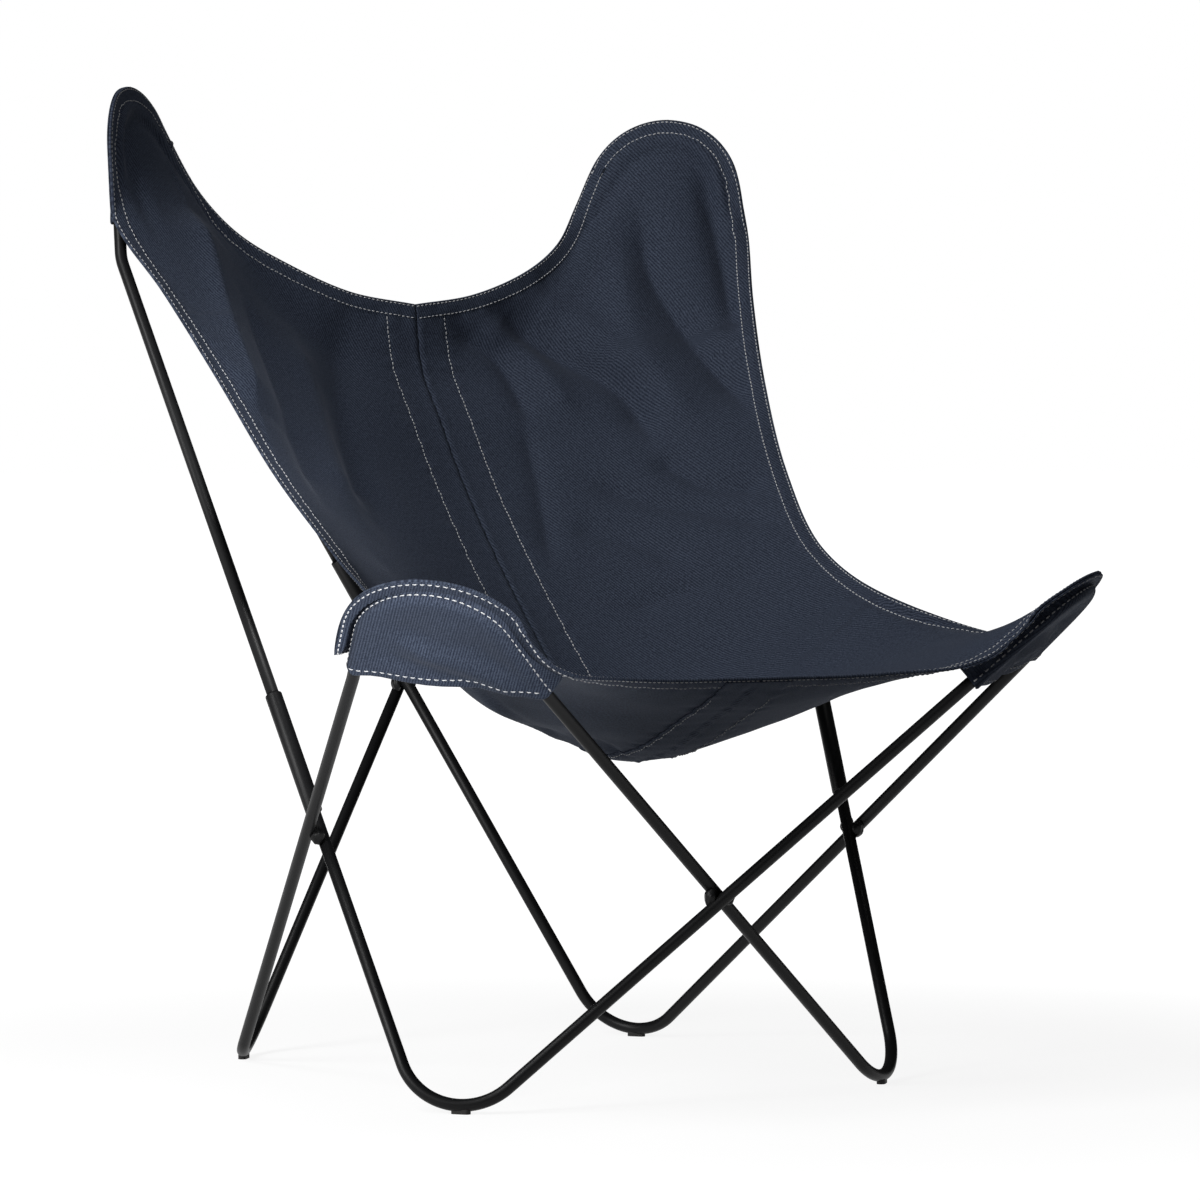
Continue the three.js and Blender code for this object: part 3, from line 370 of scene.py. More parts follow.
def cloth_piece(name, points, quads, half, uvs, canvas):
    """A mid surface made into cloth: both faces, joined round every open edge by a rounded rim.

    A quad that names one corner twice is a triangle. Gives the object, both faces' points and the normals.
    """
    normals = vertex_normals(points, quads)
    count = len(points)
    faces = [tuple(dict.fromkeys(quad)) for quad in quads.tolist()]
    edges = {edge: True for face in faces for edge in zip(face, face[1:] + face[:1])}
    rim = [(a, b) for a, b in edges if (b, a) not in edges]
    after = dict(rim)
    before = {b: a for a, b in rim}
    on_rim = sorted(after)
    tangent = unit(points[[after[i] for i in on_rim]] - points[[before[i] for i in on_rim]])
    away = normals * half[:, None]
    inset = half[on_rim][:, None] * unit(np.cross(tangent, normals[on_rim]))
    upper, lower = points + away, points - away
    upper[on_rim] -= inset
    lower[on_rim] -= inset
    rings = []
    for angle in (45, 0, -45):
        a = math.radians(angle)
        rings.append(points[on_rim] + inset * (math.cos(a) - 1) + away[on_rim] * math.sin(a))
    # each rim point's way from the upper face over the three rings to the lower face
    rungs = {}
    for k, i in enumerate(on_rim):
        rungs[i] = (i, *(2 * count + ring * len(on_rim) + k for ring in range(3)), count + i)
    faces += [tuple(count + i for i in face[::-1]) for face in faces]
    for a, b in rim:
        for level in range(4):
            faces.append((rungs[b][level], rungs[a][level], rungs[a][level + 1], rungs[b][level + 1]))
    all_uvs = np.vstack((uvs, uvs, *[uvs[on_rim]] * 3))
    piece = new_object(name, np.vstack((upper, lower, *rings)), faces, canvas, all_uvs)
    return piece, upper, lower, normals


def stitches(lines, name, material):
    """Running stitches along lines of (points, normals, size): arches of thread that dive at their ends."""
    points, faces = [], []
    for line, normals, size in lines:
        lengths = run_along(line)
        count = int(lengths[-1] // size["pitch"])
        for number in range(count):
            middle = (number + 0.5) * lengths[-1] / count
            # each stitch is a little off its place and its heading
            ends = middle + size["length"] * np.array((-0.5, 0, 0.5)) + 0.21 * math.sin(number * 12.9898)
            start, centre, end = at_lengths(line, lengths, ends)
            n = unit(at_lengths(normals, lengths, middle))
            t = unit(end - start)
            w = unit(np.cross(n, t) + t * 0.06 * math.sin(number * 4.3))
            for face in tube_faces(len(STITCH_RINGS), STITCH_SIDES, len(points)):
                faces.append((face[0], *face[:0:-1]))
            for share, thick, height in STITCH_RINGS:
                at = centre + t * share * size["length"] + n * height
                half = size["width"] * thick
                points += ellipse(at, w * half, n * half * STITCH_FLATNESS, STITCH_SIDES)
    return new_object(name, points, faces, material)


# Materials
class Nodes:
    """The node tree of a material or a world, with short calls for the nodes used here."""

    def __init__(self, owner):
        owner.use_nodes = True
        self.owner, self.tree = owner, owner.node_tree
        self.shader = self.tree.nodes.get("Principled BSDF")

    def add(self, kind, **values):
        node = self.tree.nodes.new(kind)
        for key, value in values.items():
            if hasattr(node, key):
                setattr(node, key, value)
            else:
                node.inputs[key].default_value = value
        return node

    def feed(self, socket, value):
        """Links an output to a socket, or sets the socket's own value."""
        if hasattr(value, "is_output"):
            self.tree.links.new(value, socket)
        else:
            socket.default_value = (*value, 1) if isinstance(value, tuple) else value

    def math(self, operation, *values):
        node = self.add("ShaderNodeMath", operation=operation)
        for socket, value in zip(node.inputs, values):
            self.feed(socket, value)
        return node.outputs[0]

    def mix(self, factor, a, b):
        node = self.add("ShaderNodeMix", data_type="RGBA")
        for index, value in ((0, factor), (6, a), (7, b)):
            self.feed(node.inputs[index], value)
        return node.outputs[2]

    def noise(self, vector, scale, detail, roughness):
        node = self.add("ShaderNodeTexNoise", Scale=scale, Detail=detail, Roughness=roughness)
        self.feed(node.inputs["Vector"], vector)
        return node.outputs["Fac"]

    def bump(self, height, strength, distance, normal=None):
        node = self.add("ShaderNodeBump", Strength=strength, Distance=distance)
        self.feed(node.inputs["Height"], height)
        if normal is not None:
            self.feed(node.inputs["Normal"], normal)
        return node.outputs[0]

    def place(self):
        return self.add("ShaderNodeTexCoord").outputs["Object"]

    def shade(self, colour, normal, roughness, specular=0.5):
        """Feeds the shader and gives the material."""
        sockets = self.shader.inputs
        self.feed(sockets["Base Color"], colour)
        self.feed(sockets["Normal"], normal)
        self.feed(sockets["Roughness"], roughness)
        self.feed(sockets["Specular IOR Level"], specular)
        return self.owner


def canvas_material():
    """Navy cotton canvas in a fine twill, with the yarn's uneven colour, flecks and a soft nap."""
    n = Nodes(bpy.data.materials.new("canvas"))
    uv = n.add("ShaderNodeUVMap", uv_map="flat").outputs[0]
    split = n.add("ShaderNodeSeparateXYZ")
    n.feed(split.inputs[0], uv)
    u, v = split.outputs[0], split.outputs[1]
    turn = 2 * math.pi / (TWILL_PITCH * MM) / math.hypot(1, TWILL_SLOPE)
    along = n.math("SUBTRACT", u, n.math("MULTIPLY", v, TWILL_SLOPE))
    twill = n.math("SINE", n.math("MULTIPLY", along, turn))
    yarn = n.math("SINE", n.math("MULTIPLY", n.math("ADD", u, v), turn * 1.7))
    weave = n.math("MULTIPLY_ADD", twill, 0.7, n.math("MULTIPLY", yarn, 0.3))
    slub = n.noise(uv, 260, 2.0, 0.6)
    cloudy = n.noise(uv, 9, 3.0, 0.55)
    flecks = n.noise(uv, 620, 2.0, 0.6)
    # the tone between deep and pale, about 0.4 in the middle of weave, flecks and slubs
    tone = n.math("MULTIPLY_ADD", weave, 0.5, 0.4 - 0.5 * (1.8 + 0.8))
    tone = n.math("MULTIPLY_ADD", flecks, 1.8, tone)
    tone = n.math("MULTIPLY_ADD", slub, 0.8, tone)
    tone.node.use_clamp = True
    base = n.mix(cloudy, NAVY["dull"], NAVY["bright"])
    colour = n.mix(0.8, base, n.mix(tone, NAVY["deep"], NAVY["pale"]))
    normal = n.bump(slub, 0.25, 0.0004, n.bump(weave, 0.5, 0.0002))
    sockets = n.shader.inputs
    n.feed(sockets["Sheen Weight"], 0.06)
    n.feed(sockets["Sheen Roughness"], 0.45)
    n.feed(sockets["Sheen Tint"], (0.75, 0.82, 1.0))
    return n.shade(colour, normal, n.math("MULTIPLY_ADD", slub, 0.12, 0.72), 0.12)


def thread_material():
    """Off-white twisted sewing thread."""
    n = Nodes(bpy.data.materials.new("thread"))
    place = n.place()
    ply = n.noise(place, 2200, 2.0, 0.6)
    soil = n.noise(place, 30, 2.0, 0.5)
    clean = n.mix(ply, THREAD["shade"], THREAD["light"])
    colour = n.mix(n.math("MULTIPLY", soil, 0.35), clean, THREAD["soil"])
    return n.shade(colour, n.bump(ply, 0.4, 0.0003), 0.7)


def paint_material():
    """Satin black powder coat with fine orange peel, dust and rubbed places."""
    n = Nodes(bpy.data.materials.new("frame_paint"))
    place = n.place()
    peel = n.noise(place, 700, 2.0, 0.5)
    wear = n.noise(place, 22, 4.0, 0.6)
    dust = n.noise(place, 90, 3.0, 0.65)
    colour = n.mix(n.math("MULTIPLY", dust, 0.12), n.mix(wear, PAINT["deep"], PAINT["rubbed"]), PAINT["dust"])
    return n.shade(colour, n.bump(peel, 0.05, 0.0003), n.math("MULTIPLY_ADD", wear, 0.10, 0.36), 0.17)


def rubber_material():
    """Dull black rubber of the foot pads, scuffed in places."""
    n = Nodes(bpy.data.materials.new("pad_rubber"))
    place = n.place()
    grain = n.noise(place, 900, 3.0, 0.6)
    scuff = n.noise(place, 60, 3.0, 0.6)
    colour = n.mix(scuff, RUBBER["deep"], RUBBER["scuffed"])
    return n.shade(colour, n.bump(grain, 0.3, 0.0005), n.math("MULTIPLY_ADD", scuff, 0.2, 0.65))


# Ears of the frame, as in the part's source
def make_ear(kinks, lean, reach, radius, skew):
    outer, inner = (np.array(kinks[name], float) for name in ("outer", "inner"))
    middle = (outer + inner) / 2
    across = unit(inner - outer)
    outward = np.array((middle[0], middle[1], 0.0))
    outward = unit(outward - across * (outward @ across))
    lean = math.radians(lean)
    half = np.linalg.norm(inner - outer) / 2
    bend = reach - radius

    def angle(width):
        return math.atan2(bend, width) + math.asin(radius / math.hypot(width, bend))

    return {
        "middle": middle, "across": across, "rise": outward * math.sin(lean) + UP * math.cos(lean),
        "inward": -outward * math.cos(lean) + UP * math.sin(lean), "half": half, "radius": radius,
        "skew": skew, "bend": bend, "outer_angle": angle(half - skew), "inner_angle": angle(half + skew),
        "leg_slope": 0.0,
    }


def front_ear():
    return make_ear(FRONT_KINKS, **FRONT_EAR)


def rear_ear(name):
    return make_ear(REAR_KINKS, reach=REAR_REACH[name], **REAR_EAR)


def ears_on(side):
    """The front and rear ear of a half, both drawn on the left and moved by the loops' stagger."""
    front, rear = front_ear(), rear_ear(side_name(side))
    points = frame_points()
    leg = points["front_foot"] - points["front_inner"]
    front["leg_slope"] = -(leg @ front["across"]) / (leg @ front["rise"])
    stagger = np.array((0, side * LOOP_STAGGER / 2, 0))
    front["middle"] = front["middle"] + stagger
    rear["middle"] = rear["middle"] - stagger
    return {"front": front, "rear": rear}


def on_ear(e, across, rise, lift):
    return e["middle"] + e["across"] * across + e["rise"] * rise + e["inward"] * lift


def beside_bend(e, angle, margin, lift):
    radius = e["radius"] + margin
    return on_ear(e, radius * math.sin(angle) - e["skew"], e["bend"] + radius * math.cos(angle), lift)


def beside_side(e, rise, sign, margin, lift):
    angle = e["outer_angle"] if sign < 0 else e["inner_angle"]
    slope = e["leg_slope"] if sign > 0 and rise < 0 else 1 / math.tan(angle)
    half = e["half"] - rise * slope + margin / math.sin(angle)
    return on_ear(e, sign * half, rise, lift)


def bend_angle(e, share):
    return share * (e["outer_angle"] if share < 0 else e["inner_angle"])


def ear_places(e, points):
    """Points' places across an ear, up it and inward of it."""
    offset = points - e["middle"]
    return offset @ e["across"], offset @ e["rise"], offset @ e["inward"]


def ear_margin(e, across, rise):
    """Distance outside the ear's rod line, below zero inside the ear."""
    outer = (across + e["half"]) * -math.sin(e["outer_angle"]) + rise * math.cos(e["outer_angle"])
    inner = (across - e["half"]) * math.sin(e["inner_angle"]) + rise * math.cos(e["inner_angle"])
    x, y = across + e["skew"], rise - e["bend"]
    angle = np.arctan2(x, y)
    on_bend = (angle > -e["outer_angle"]) & (angle < e["inner_angle"]) & (y > -1e-6)
    return np.where(on_bend, np.hypot(x, y) - e["radius"], np.maximum(outer, inner))


# The sling's coarse net, as in the part's source
def ear_edge(e, pocket):
    places = [beside_side(e, pocket["hem_start"], -1, MARGIN, FLANGE_LIFT - pocket["dip"] * HEM_START_DIP)]
    for share in EAR_SHARES:
        lift = FLANGE_LIFT + pocket["lift"] * max(share, 0) + pocket["dip"] * min(share, 0)
        places.append(beside_bend(e, bend_angle(e, share), MARGIN, lift))
    return places


def part_way(start, end, shares):
    return [start + (end - start) * np.array(s) for s in shares]


def sling_boundary(ears):
    """Points round a half's free edge, and which of them are the tips of its ears."""
    rear = ear_edge(ears["rear"], REAR_POCKET)[::-1]
    front = ear_edge(ears["front"], FRONT_POCKET)
    top = part_way(TOP_CENTRE, rear[0], TOP_SHARES)
    side = part_way(rear[-1], front[0], [(d, d, h) for d, h, _ in SIDE_SHARES])
    side = [p + np.array((bow * SIDE_EDGE_BOW, 0, 0)) for p, (_, _, bow) in zip(side, SIDE_SHARES)]
    edge = part_way(front[-1], FRONT_CENTRE, FRONT_SHARES)
    points = [TOP_CENTRE, *top, *rear, *side, *front, *edge, FRONT_CENTRE]
    rear_tip = 1 + len(top) + EAR_SHARES.index(0)
    return points, rear_tip, rear_tip + len(rear) + len(side) + 1


def seam_line():
    back = part_way(TOP_CENTRE, SEAT_LOW, [(0, d, h) for d, h in SEAM_BACK])
    front = part_way(SEAT_LOW, FRONT_CENTRE, [(0, d, h) for d, h in SEAM_FRONT])
    return smooth_curve([TOP_CENTRE, *back, SEAT_LOW, *front, FRONT_CENTRE])[1]


def relaxed(grid):
    """The net in even tension whose centre line stays on the seam: one linear system for its inner points."""
    rows, cols = DOWN - 1, ACROSS - 1
    size = rows * cols
    share = np.arange(1, ACROSS) / ACROSS
    weight = (1 - share) ** 2 * (1 + 2 * share)
    for axis in range(3):
        a = np.zeros((size, size))
        b = np.zeros(size)
        for r in range(rows):
            centre = 0.0
            if axis:
                centre = 4 * grid[r + 1, 0, axis] - grid[r, 0, axis] - grid[r + 2, 0, axis]
            for c in range(cols):
                k = r * cols + c
                a[k, k] += 4
                for dr, dc in ((-1, 0), (1, 0), (0, -1), (0, 1)):
                    rr, cc = r + dr, c + dc
                    if 0 <= rr < rows and 0 <= cc < cols:
                        a[k, rr * cols + cc] -= 1
                    else:
                        b[k] += grid[rr + 1, cc + 1, axis]
                b[k] += weight[c] * centre
                if axis:
                    a[k, r * cols] += 2 * weight[c]
        grid[1:DOWN, 1:ACROSS, axis] = np.linalg.solve(a, b).reshape(rows, cols)


def lay_hem(grid):
    """Moves the first lines inside the free edge to the hem's width from it."""
    def lay(edge, before, after, inner):
        heading = unit(after - before)
        inwards = inner - edge
        return edge + unit(inwards - heading * (inwards @ heading)) * HEM_WIDTH

    for r in range(1, DOWN):
        grid[r, -2] = lay(grid[r, -1], grid[r - 1, -1], grid[r + 1, -1], grid[r, -2])
    for c in range(ACROSS - 1):
        for edge, inner in ((0, 1), (DOWN, DOWN - 1)):
            before = grid[edge, c - 1] if c else grid[edge, 1] * MIRROR
            grid[inner, c] = lay(grid[edge, c], before, grid[edge, c + 1], grid[inner, c])
    # each ear's tip is a corner of the mesh, though its edge runs straight on there
    for edge, inner, deep in ((0, 1, 2), (DOWN, DOWN - 1, DOWN - 2)):
        grid[inner, -2] = lay(grid[edge, -1], grid[edge, -2], grid[inner, -1], grid[deep, -3])


def coarse_half(side):
    """A half's coarse net, and its free edge in three pieces that meet at the ears' tips."""
    points, rear_tip, front_tip = sling_boundary(ears_on(side))
    t, line = smooth_curve(points)
    spans = ((0, rear_tip), (rear_tip, front_tip), (front_tip, len(points) - 1))
    pieces = [line[(t >= a - 1e-9) & (t <= b + 1e-9)] for a, b in spans]
    outer = resample(pieces[1], DOWN)
    seam = resample(seam_line(), DOWN)
    share = np.linspace(0, 1, ACROSS + 1)[None, :, None]
    grid = seam[:, None] * (1 - share) + outer[:, None] * share
    grid[0] = resample(pieces[0], ACROSS)
    grid[DOWN] = resample(pieces[2], ACROSS)[::-1]
    relaxed(grid)
    lay_hem(grid)
    return grid, pieces


# The fine mesh of a half
def fine_places(cells, first, last):
    """Places of the fine mesh's lines, in cells; closer in the hem, with one on each row of stitches."""
    places = [0.0]
    for cell in range(cells):
        if first and cell < len(HEM_PLACES):
            places += [cell + s for s in HEM_PLACES[cell]]
        elif last and cells - cell <= len(HEM_PLACES):
            shares = HEM_PLACES[cells - cell - 1]
            places += [cell + 1 - s for s in (*shares[-2::-1], 0)]
        elif not first and cell < 2:
            places += [cell + s for s in SEAM_PLACES]
        else:
            places += [cell + (k + 1) / FINE for k in range(FINE)]
    return np.array(places)


def cubic_weights(places, cells):
    """Rows of weights on the coarse points, one point added before and after the ends."""
    w = np.zeros((len(places), cells + 3))
    for row, place in enumerate(places):
        i = min(int(place), cells - 1)
        s = place - i
        w[row, i:i + 4] = (
            (-s + 2 * s * s - s ** 3) / 2, (2 - 5 * s * s + 3 * s ** 3) / 2,
            (s + 4 * s * s - 3 * s ** 3) / 2, (s ** 3 - s * s) / 2,
        )
    return w


def fine_half(grid, other, pieces):
    """Cubic through the coarse net of a half, whose other half goes on past the seam."""
    rows, cols = fine_places(DOWN, True, True), fine_places(ACROSS, False, True)
    right = 2 * grid[:, -1:] - grid[:, -2:-1]
    wide = np.concatenate((other[:, 1:2] * MIRROR, grid, right), 1)
    padded = np.concatenate((2 * wide[:1] - wide[1:2], wide, 2 * wide[-1:] - wide[-2:-1]), 0)
    fine = np.einsum("ri,cj,ijk->rck", cubic_weights(rows, DOWN), cubic_weights(cols, ACROSS), padded)
    # the edges go exactly on their own curves, and the hem's cells follow
    top = resample(pieces[0], shares=cols / ACROSS) - fine[0]
    front = resample(pieces[2], shares=1 - cols / ACROSS) - fine[-1]
    side = resample(pieces[1], shares=rows / DOWN) - fine[:, -1]
    for k, place in enumerate((0, *HEM_PLACES[0][:-1])):
        fine[k, :-1] += top[:-1] * (1 - place)
        fine[-1 - k, :-1] += front[:-1] * (1 - place)
        fine[1:-1, -1 - k] += side[1:-1] * (1 - place)
    fine[0, -1] += top[-1]
    fine[-1, -1] += front[-1]
    fine[:, 0, 0] = 0
    deep = np.searchsorted(rows, EAR_CELLS) + 1
    for ear in (fine[:deep], fine[::-1][:deep]):
        relax_ear(ear[:, ::-1][:, :np.count_nonzero(cols >= ACROSS - EAR_CELLS)])
    return fine, rows, cols


def relax_ear(block):
    """The fine mesh about an ear's tip, drawn into even tension between its four sides."""
    def tension(line):
        steps = np.linalg.norm(np.diff(line, axis=0), axis=1)
        table = np.zeros((len(line) - 2, len(line)))
        for i, (before, after) in enumerate(zip(steps, steps[1:])):
            table[i, i:i + 3] = 1 / before, -1 / before - 1 / after, 1 / after
            table[i] /= (before + after) / 2
        return table

    t, u = tension(block[:, -1]), tension(block[-1])
    inner = block.copy()
    inner[1:-1, 1:-1] = 0
    pull = -(np.einsum("ij,jkl->ikl", t, inner[:, 1:-1]) + np.einsum("ij,kjl->kil", u, inner[1:-1]))
    n, m = pull.shape[:2]
    table = np.kron(t[:, 1:-1], np.eye(m)) + np.kron(np.eye(n), u[:, 1:-1])
    block[1:-1, 1:-1] = np.linalg.solve(table, pull.reshape(n * m, 3)).reshape(n, m, 3)


def free_edge(grid):
    return np.vstack((grid[0], grid[1:, -1], grid[-1, ::-1][1:]))


# Folds and wrinkles
def fold_heights(fine, rows, cols, folds):
    """The height of all folds at each point of a half's fine mesh."""
    flat = fine.reshape(-1, 3)
    total = np.zeros(len(flat))
    for height, width, roundness, shares in folds:
        line = [fine[np.searchsorted(rows, down * DOWN), np.searchsorted(cols, across * ACROSS)]
                for across, down in shares]
        _, curve = smooth_curve(line, 24)
        gap, place = line_distance(flat, curve)
        if isinstance(width, tuple):
            nearest = curve[(place * (len(curve) - 1)).round().astype(int)]
            width = np.where(np.abs(flat[:, 0]) > np.abs(nearest[:, 0]), *width)
        fade = np.clip(np.minimum(place, 1 - place) / 0.2 + 0.35, 0, 1)
        total += height * fade * bell(gap, width, roundness)
    return total.reshape(fine.shape[:2])


def puckers(along, wander, waves):
    return sum(share * np.sin(2 * np.pi * along / pitch + turn * wander) for pitch, turn, share in waves)


def lay_on_ear(points, e, pocket):
    """Lifts the cloth of an ear over its rod and its flange, where it lies lower, and dips it inside them."""
    across, rise, lift = ear_places(e, points)
    margin = ear_margin(e, across, rise)
    over_rod = np.sqrt(np.clip((ROD_RADIUS + SEAT_GAP + CLOTH / 2) ** 2 - margin ** 2, 0, None))
    flange = FLANGE_LIFT - pocket["dip"] * np.clip(-across / e["half"], 0, 1) * np.clip(margin / MARGIN, 0, 1)
    floor = np.maximum(over_rod, np.where(margin > 0, flange, INSIDE_LIFT))
    near = np.clip((rise + MARGIN) / 10, 0, 1) * np.clip((60 + lift) / 20, 0, 1)
    raised = (soft_max(lift, floor) - lift) * near
    dip = EAR_DIP * bell(margin + 14, 6.5) * smoothstep(rise / 60)
    on_it = (margin < MARGIN + 2) & (rise > -MARGIN)
    return points + np.where(on_it, raised - dip, 0)[:, None] * e["inward"]


def cut_places(points):
    """Places on the flat cut: away from the seam, and along it and its straight run past both ends."""
    seam = resample(seam_line(), 60)[:, 1:]
    before, after = unit(seam[0] - seam[1]) * CUT_RUN, unit(seam[-1] - seam[-2]) * CUT_RUN
    line = np.vstack((seam[0] + before, seam, seam[-1] + after))
    away, share = line_distance(points[:, 1:], line)
    return np.stack((np.hypot(points[:, 0], away), share * run_along(line)[-1]), 1)


def half_surface(side, grid, other, pieces):
    """The fine mid surface of a half, folded, wrinkled and laid on its ears, in the left half's frame."""
    fine, rows, cols = fine_half(grid, other, pieces)
    shape = fine.shape[:2]
    flat = fine.reshape(-1, 3)

    def waves(size, seed):
        return broad_noise(flat, size, seed + side).reshape(shape)

    normals = unit(np.cross(np.gradient(fine, axis=1), np.gradient(fine, axis=0)))
    normals[:, 0, 0] = 0
    normals = unit(normals)
    u = np.pad(np.cumsum(np.linalg.norm(np.diff(fine, axis=1), axis=2), 1), ((0, 0), (1, 0)))
    v = np.pad(np.cumsum(np.linalg.norm(np.diff(fine, axis=0), axis=2), 0), ((1, 0), (0, 0)))
    gap, place = (a.reshape(shape) for a in line_distance(flat, free_edge(fine)[::2]))
    # folds and slack fade towards the hems and the seam
    free = smoothstep((gap - 3) / 26)
    heights = fold_heights(fine, rows, cols, FOLDS[side_name(side)]) + 1.5 * waves(85, 1)
    lift = heights * free * smoothstep((u - 14) / 34) + 0.5 * waves(30, 4) * free * smoothstep(u / 20)
    # puckers along the band's rows of stitches and the hems, and the dents of the seam and the band's row
    wander = waves(60, 9)
    near_row = bell(u - BAND_WIDTH / 2, 11) + 0.8 * bell(u, 9)
    lift += 0.6 * puckers(v, wander, BAND_PUCKERS) * near_row * smoothstep(gap / 24)
    lift -= (1.1 * bell(u, 1.6) - 0.5 * bell(u - 5, 2.6)) * smoothstep((gap - 14) / 6)
    lift -= 0.35 * bell(u - BAND_ROW, 1.8) * smoothstep((gap - 14) / 4)
    hem_ripple = puckers(place * EDGE_LENGTH, wander, HEM_PUCKERS)
    lift += 0.28 * hem_ripple * smoothstep(gap / 6) * bell(gap - 16, 12)
    surface = fine + normals * lift[..., None]
    surface[:, 0, 0] = 0
    ears = ears_on(side)
    laid = lay_on_ear(surface.reshape(-1, 3), ears["front"], FRONT_POCKET)
    laid = lay_on_ear(laid, ears["rear"], REAR_POCKET)
    return {"side": side, "ears": ears, "surface": laid.reshape(fine.shape), "gap": gap, "u": u, "v": v,
            "cut": cut_places(flat)}


def half_thickness(gap, u):
    """Half the cloth's thickness: doubled in the hem, and drawn in along each row of stitches."""
    thick = CLOTH / 2 + (HEM - CLOTH) / 2 * (1 - smoothstep((gap - HEM_WIDTH + 0.3) / 1.2))
    for row in HEM_ROWS:
        thick = thick - 0.3 * bell(gap - row, 1.1)
    return thick - 0.22 * bell(u, 1.3) - 0.2 * bell(u - BAND_ROW, 1.5)


# Panels and their rows of stitches
def make_panel(half, canvas):
    """One half of the sling; its faces and normals are kept for the stitches and the band."""
    side, shape = half["side"], half["surface"].shape
    half["middle"] = place_side(half["surface"], side)
    half["quads"] = quads_of(shape[:2], flip=side < 0)
    points = half["middle"].copy()
    # each half's seam column stands a little to its own side, so that the halves don't cut into each other
    points[:, 0, 0] -= side * 0.1
    points = points.reshape(-1, 3)
    size = half_thickness(half["gap"], half["u"]).ravel()
    uvs = half["cut"] * np.array((side, -1))
    panel, *faces = cloth_piece(f"sling_{side_name(side)}", points, half["quads"], size, uvs, canvas)
    for key, face in zip(("upper", "lower", "normals"), faces):
        half[key] = face.reshape(shape)
    half["area"] = quad_area(points, half["quads"])
    return panel


def edge_rows(half, offset, face, turn):
    """A line of points at an offset inside a panel's free edge, on its upper or lower face."""
    rim = resample(free_edge(half["middle"]), EDGE_POINTS)
    _, n = snapped(surface_finder(half["middle"], half["quads"]), rim)
    inward = unit(np.cross(n, unit(np.gradient(rim, axis=0)))) * half["side"]
    line, normals = snapped(surface_finder(half[face], half["quads"]), smoothed(rim + inward * offset, 6))
    return line, normals * turn


def beside_seam(half, row, values, away):
    """A grid's values on one of its rows, at a distance from the centre seam."""
    return at_lengths(half[values][row], half["u"][row], away)


def band_rows(half, away):
    """A line at a distance from the centre seam, from hem to hem."""
    line, normals = [], []
    for row in range(2, half["u"].shape[0] - 2):
        if np.interp(away, half["u"][row], half["gap"][row]) >= HEM_ROWS[1] + 1.5:
            line.append(beside_seam(half, row, "upper", away))
            normals.append(beside_seam(half, row, "normals", away))
    tree = surface_finder(half["upper"], half["quads"])
    return snapped(tree, smoothed(line, 8))[0], unit(smoothed(normals, 8))


def free_stretches(line, normals, trees):
    """The parts of a line that no pocket covers."""
    shift = Vector((0, FRAME_SHIFT, 0))
    covered = []
    for p in line:
        place = (Vector(p) + shift) * MM
        covered.append(any(tree.find_nearest(place, 0.006)[0] is not None for tree in trees))
    stretches, start = [], None
    for i, hidden in enumerate(covered + [True]):
        if not hidden and start is None:
            start = i
        elif hidden and start is not None:
            if i - start > 8:
                stretches.append((line[start:i], normals[start:i]))
            start = None
    return stretches


def make_band(halves, canvas):
    """The band under the centre seam, with the rows of stitches near its edges."""
    left, right = halves
    count = left["u"].shape[0]
    points, uvs = [], []
    for row in range(BAND_START, count - BAND_START):
        for k in range(-BAND_STEPS, BAND_STEPS + 1):
            away = BAND_WIDTH / 2 * abs(k) / BAND_STEPS
            half = left if k <= 0 else right
            n = unit(beside_seam(half, row, "normals", away))
            if k == 0:
                n = unit(n * np.array((0, 1, 1)))
            at = beside_seam(half, row, "middle", away)
            points.append(at - n * (CLOTH / 2 + 0.15 + BAND / 2))
            uvs.append((away if k <= 0 else -away, -half["v"][row, 0]))
    points = np.array(points)
    shape = (count - 2 * BAND_START, 2 * BAND_STEPS + 1)
    quads = quads_of(shape, flip=True)
    size = np.full(len(points), BAND / 2)
    band, _, lower, normals = cloth_piece("seam_tape", points, quads, size, np.array(uvs), canvas)
    inner = slice(BAND_ROW_START, -BAND_ROW_START)
    lower, normals = lower.reshape(*shape, 3), normals.reshape(*shape, 3)
    lines = [(lower[inner, k], -normals[inner, k], FINE_STITCH) for k in (1, 2 * BAND_STEPS - 1)]
    return band, lines, quad_area(points, quads)


# Pockets
def pocket_stations(e, pocket):
    """Stations round the pocket's rim, each a way to place points beside the rod, and its spine's height."""
    def side_station(step, sign):
        def climb(start):
            return start + (e["bend"] - start) * step / POCKET_SIDE_STEPS

        def beside(margin, lift):
            rod = climb(pocket["outer" if sign < 0 else "inner"])
            flange = climb(pocket["hem_start" if sign < 0 else "hem_end"])
            return beside_side(e, rod + (flange - rod) * max(margin, 0) / MARGIN, sign, margin, lift)

        return beside, climb((pocket["outer"] + pocket["inner"]) / 2)

    def bend_station(step):
        angle = bend_angle(e, 2 * step / POCKET_BEND_STEPS - 1)
        return (lambda margin, lift: beside_bend(e, angle, margin, lift)), e["bend"]

    steps = range(POCKET_SIDE_STEPS)
    return [*(side_station(step, -1) for step in steps),
            *(bend_station(step) for step in range(POCKET_BEND_STEPS + 1)),
            *(side_station(step, 1) for step in reversed(steps))]


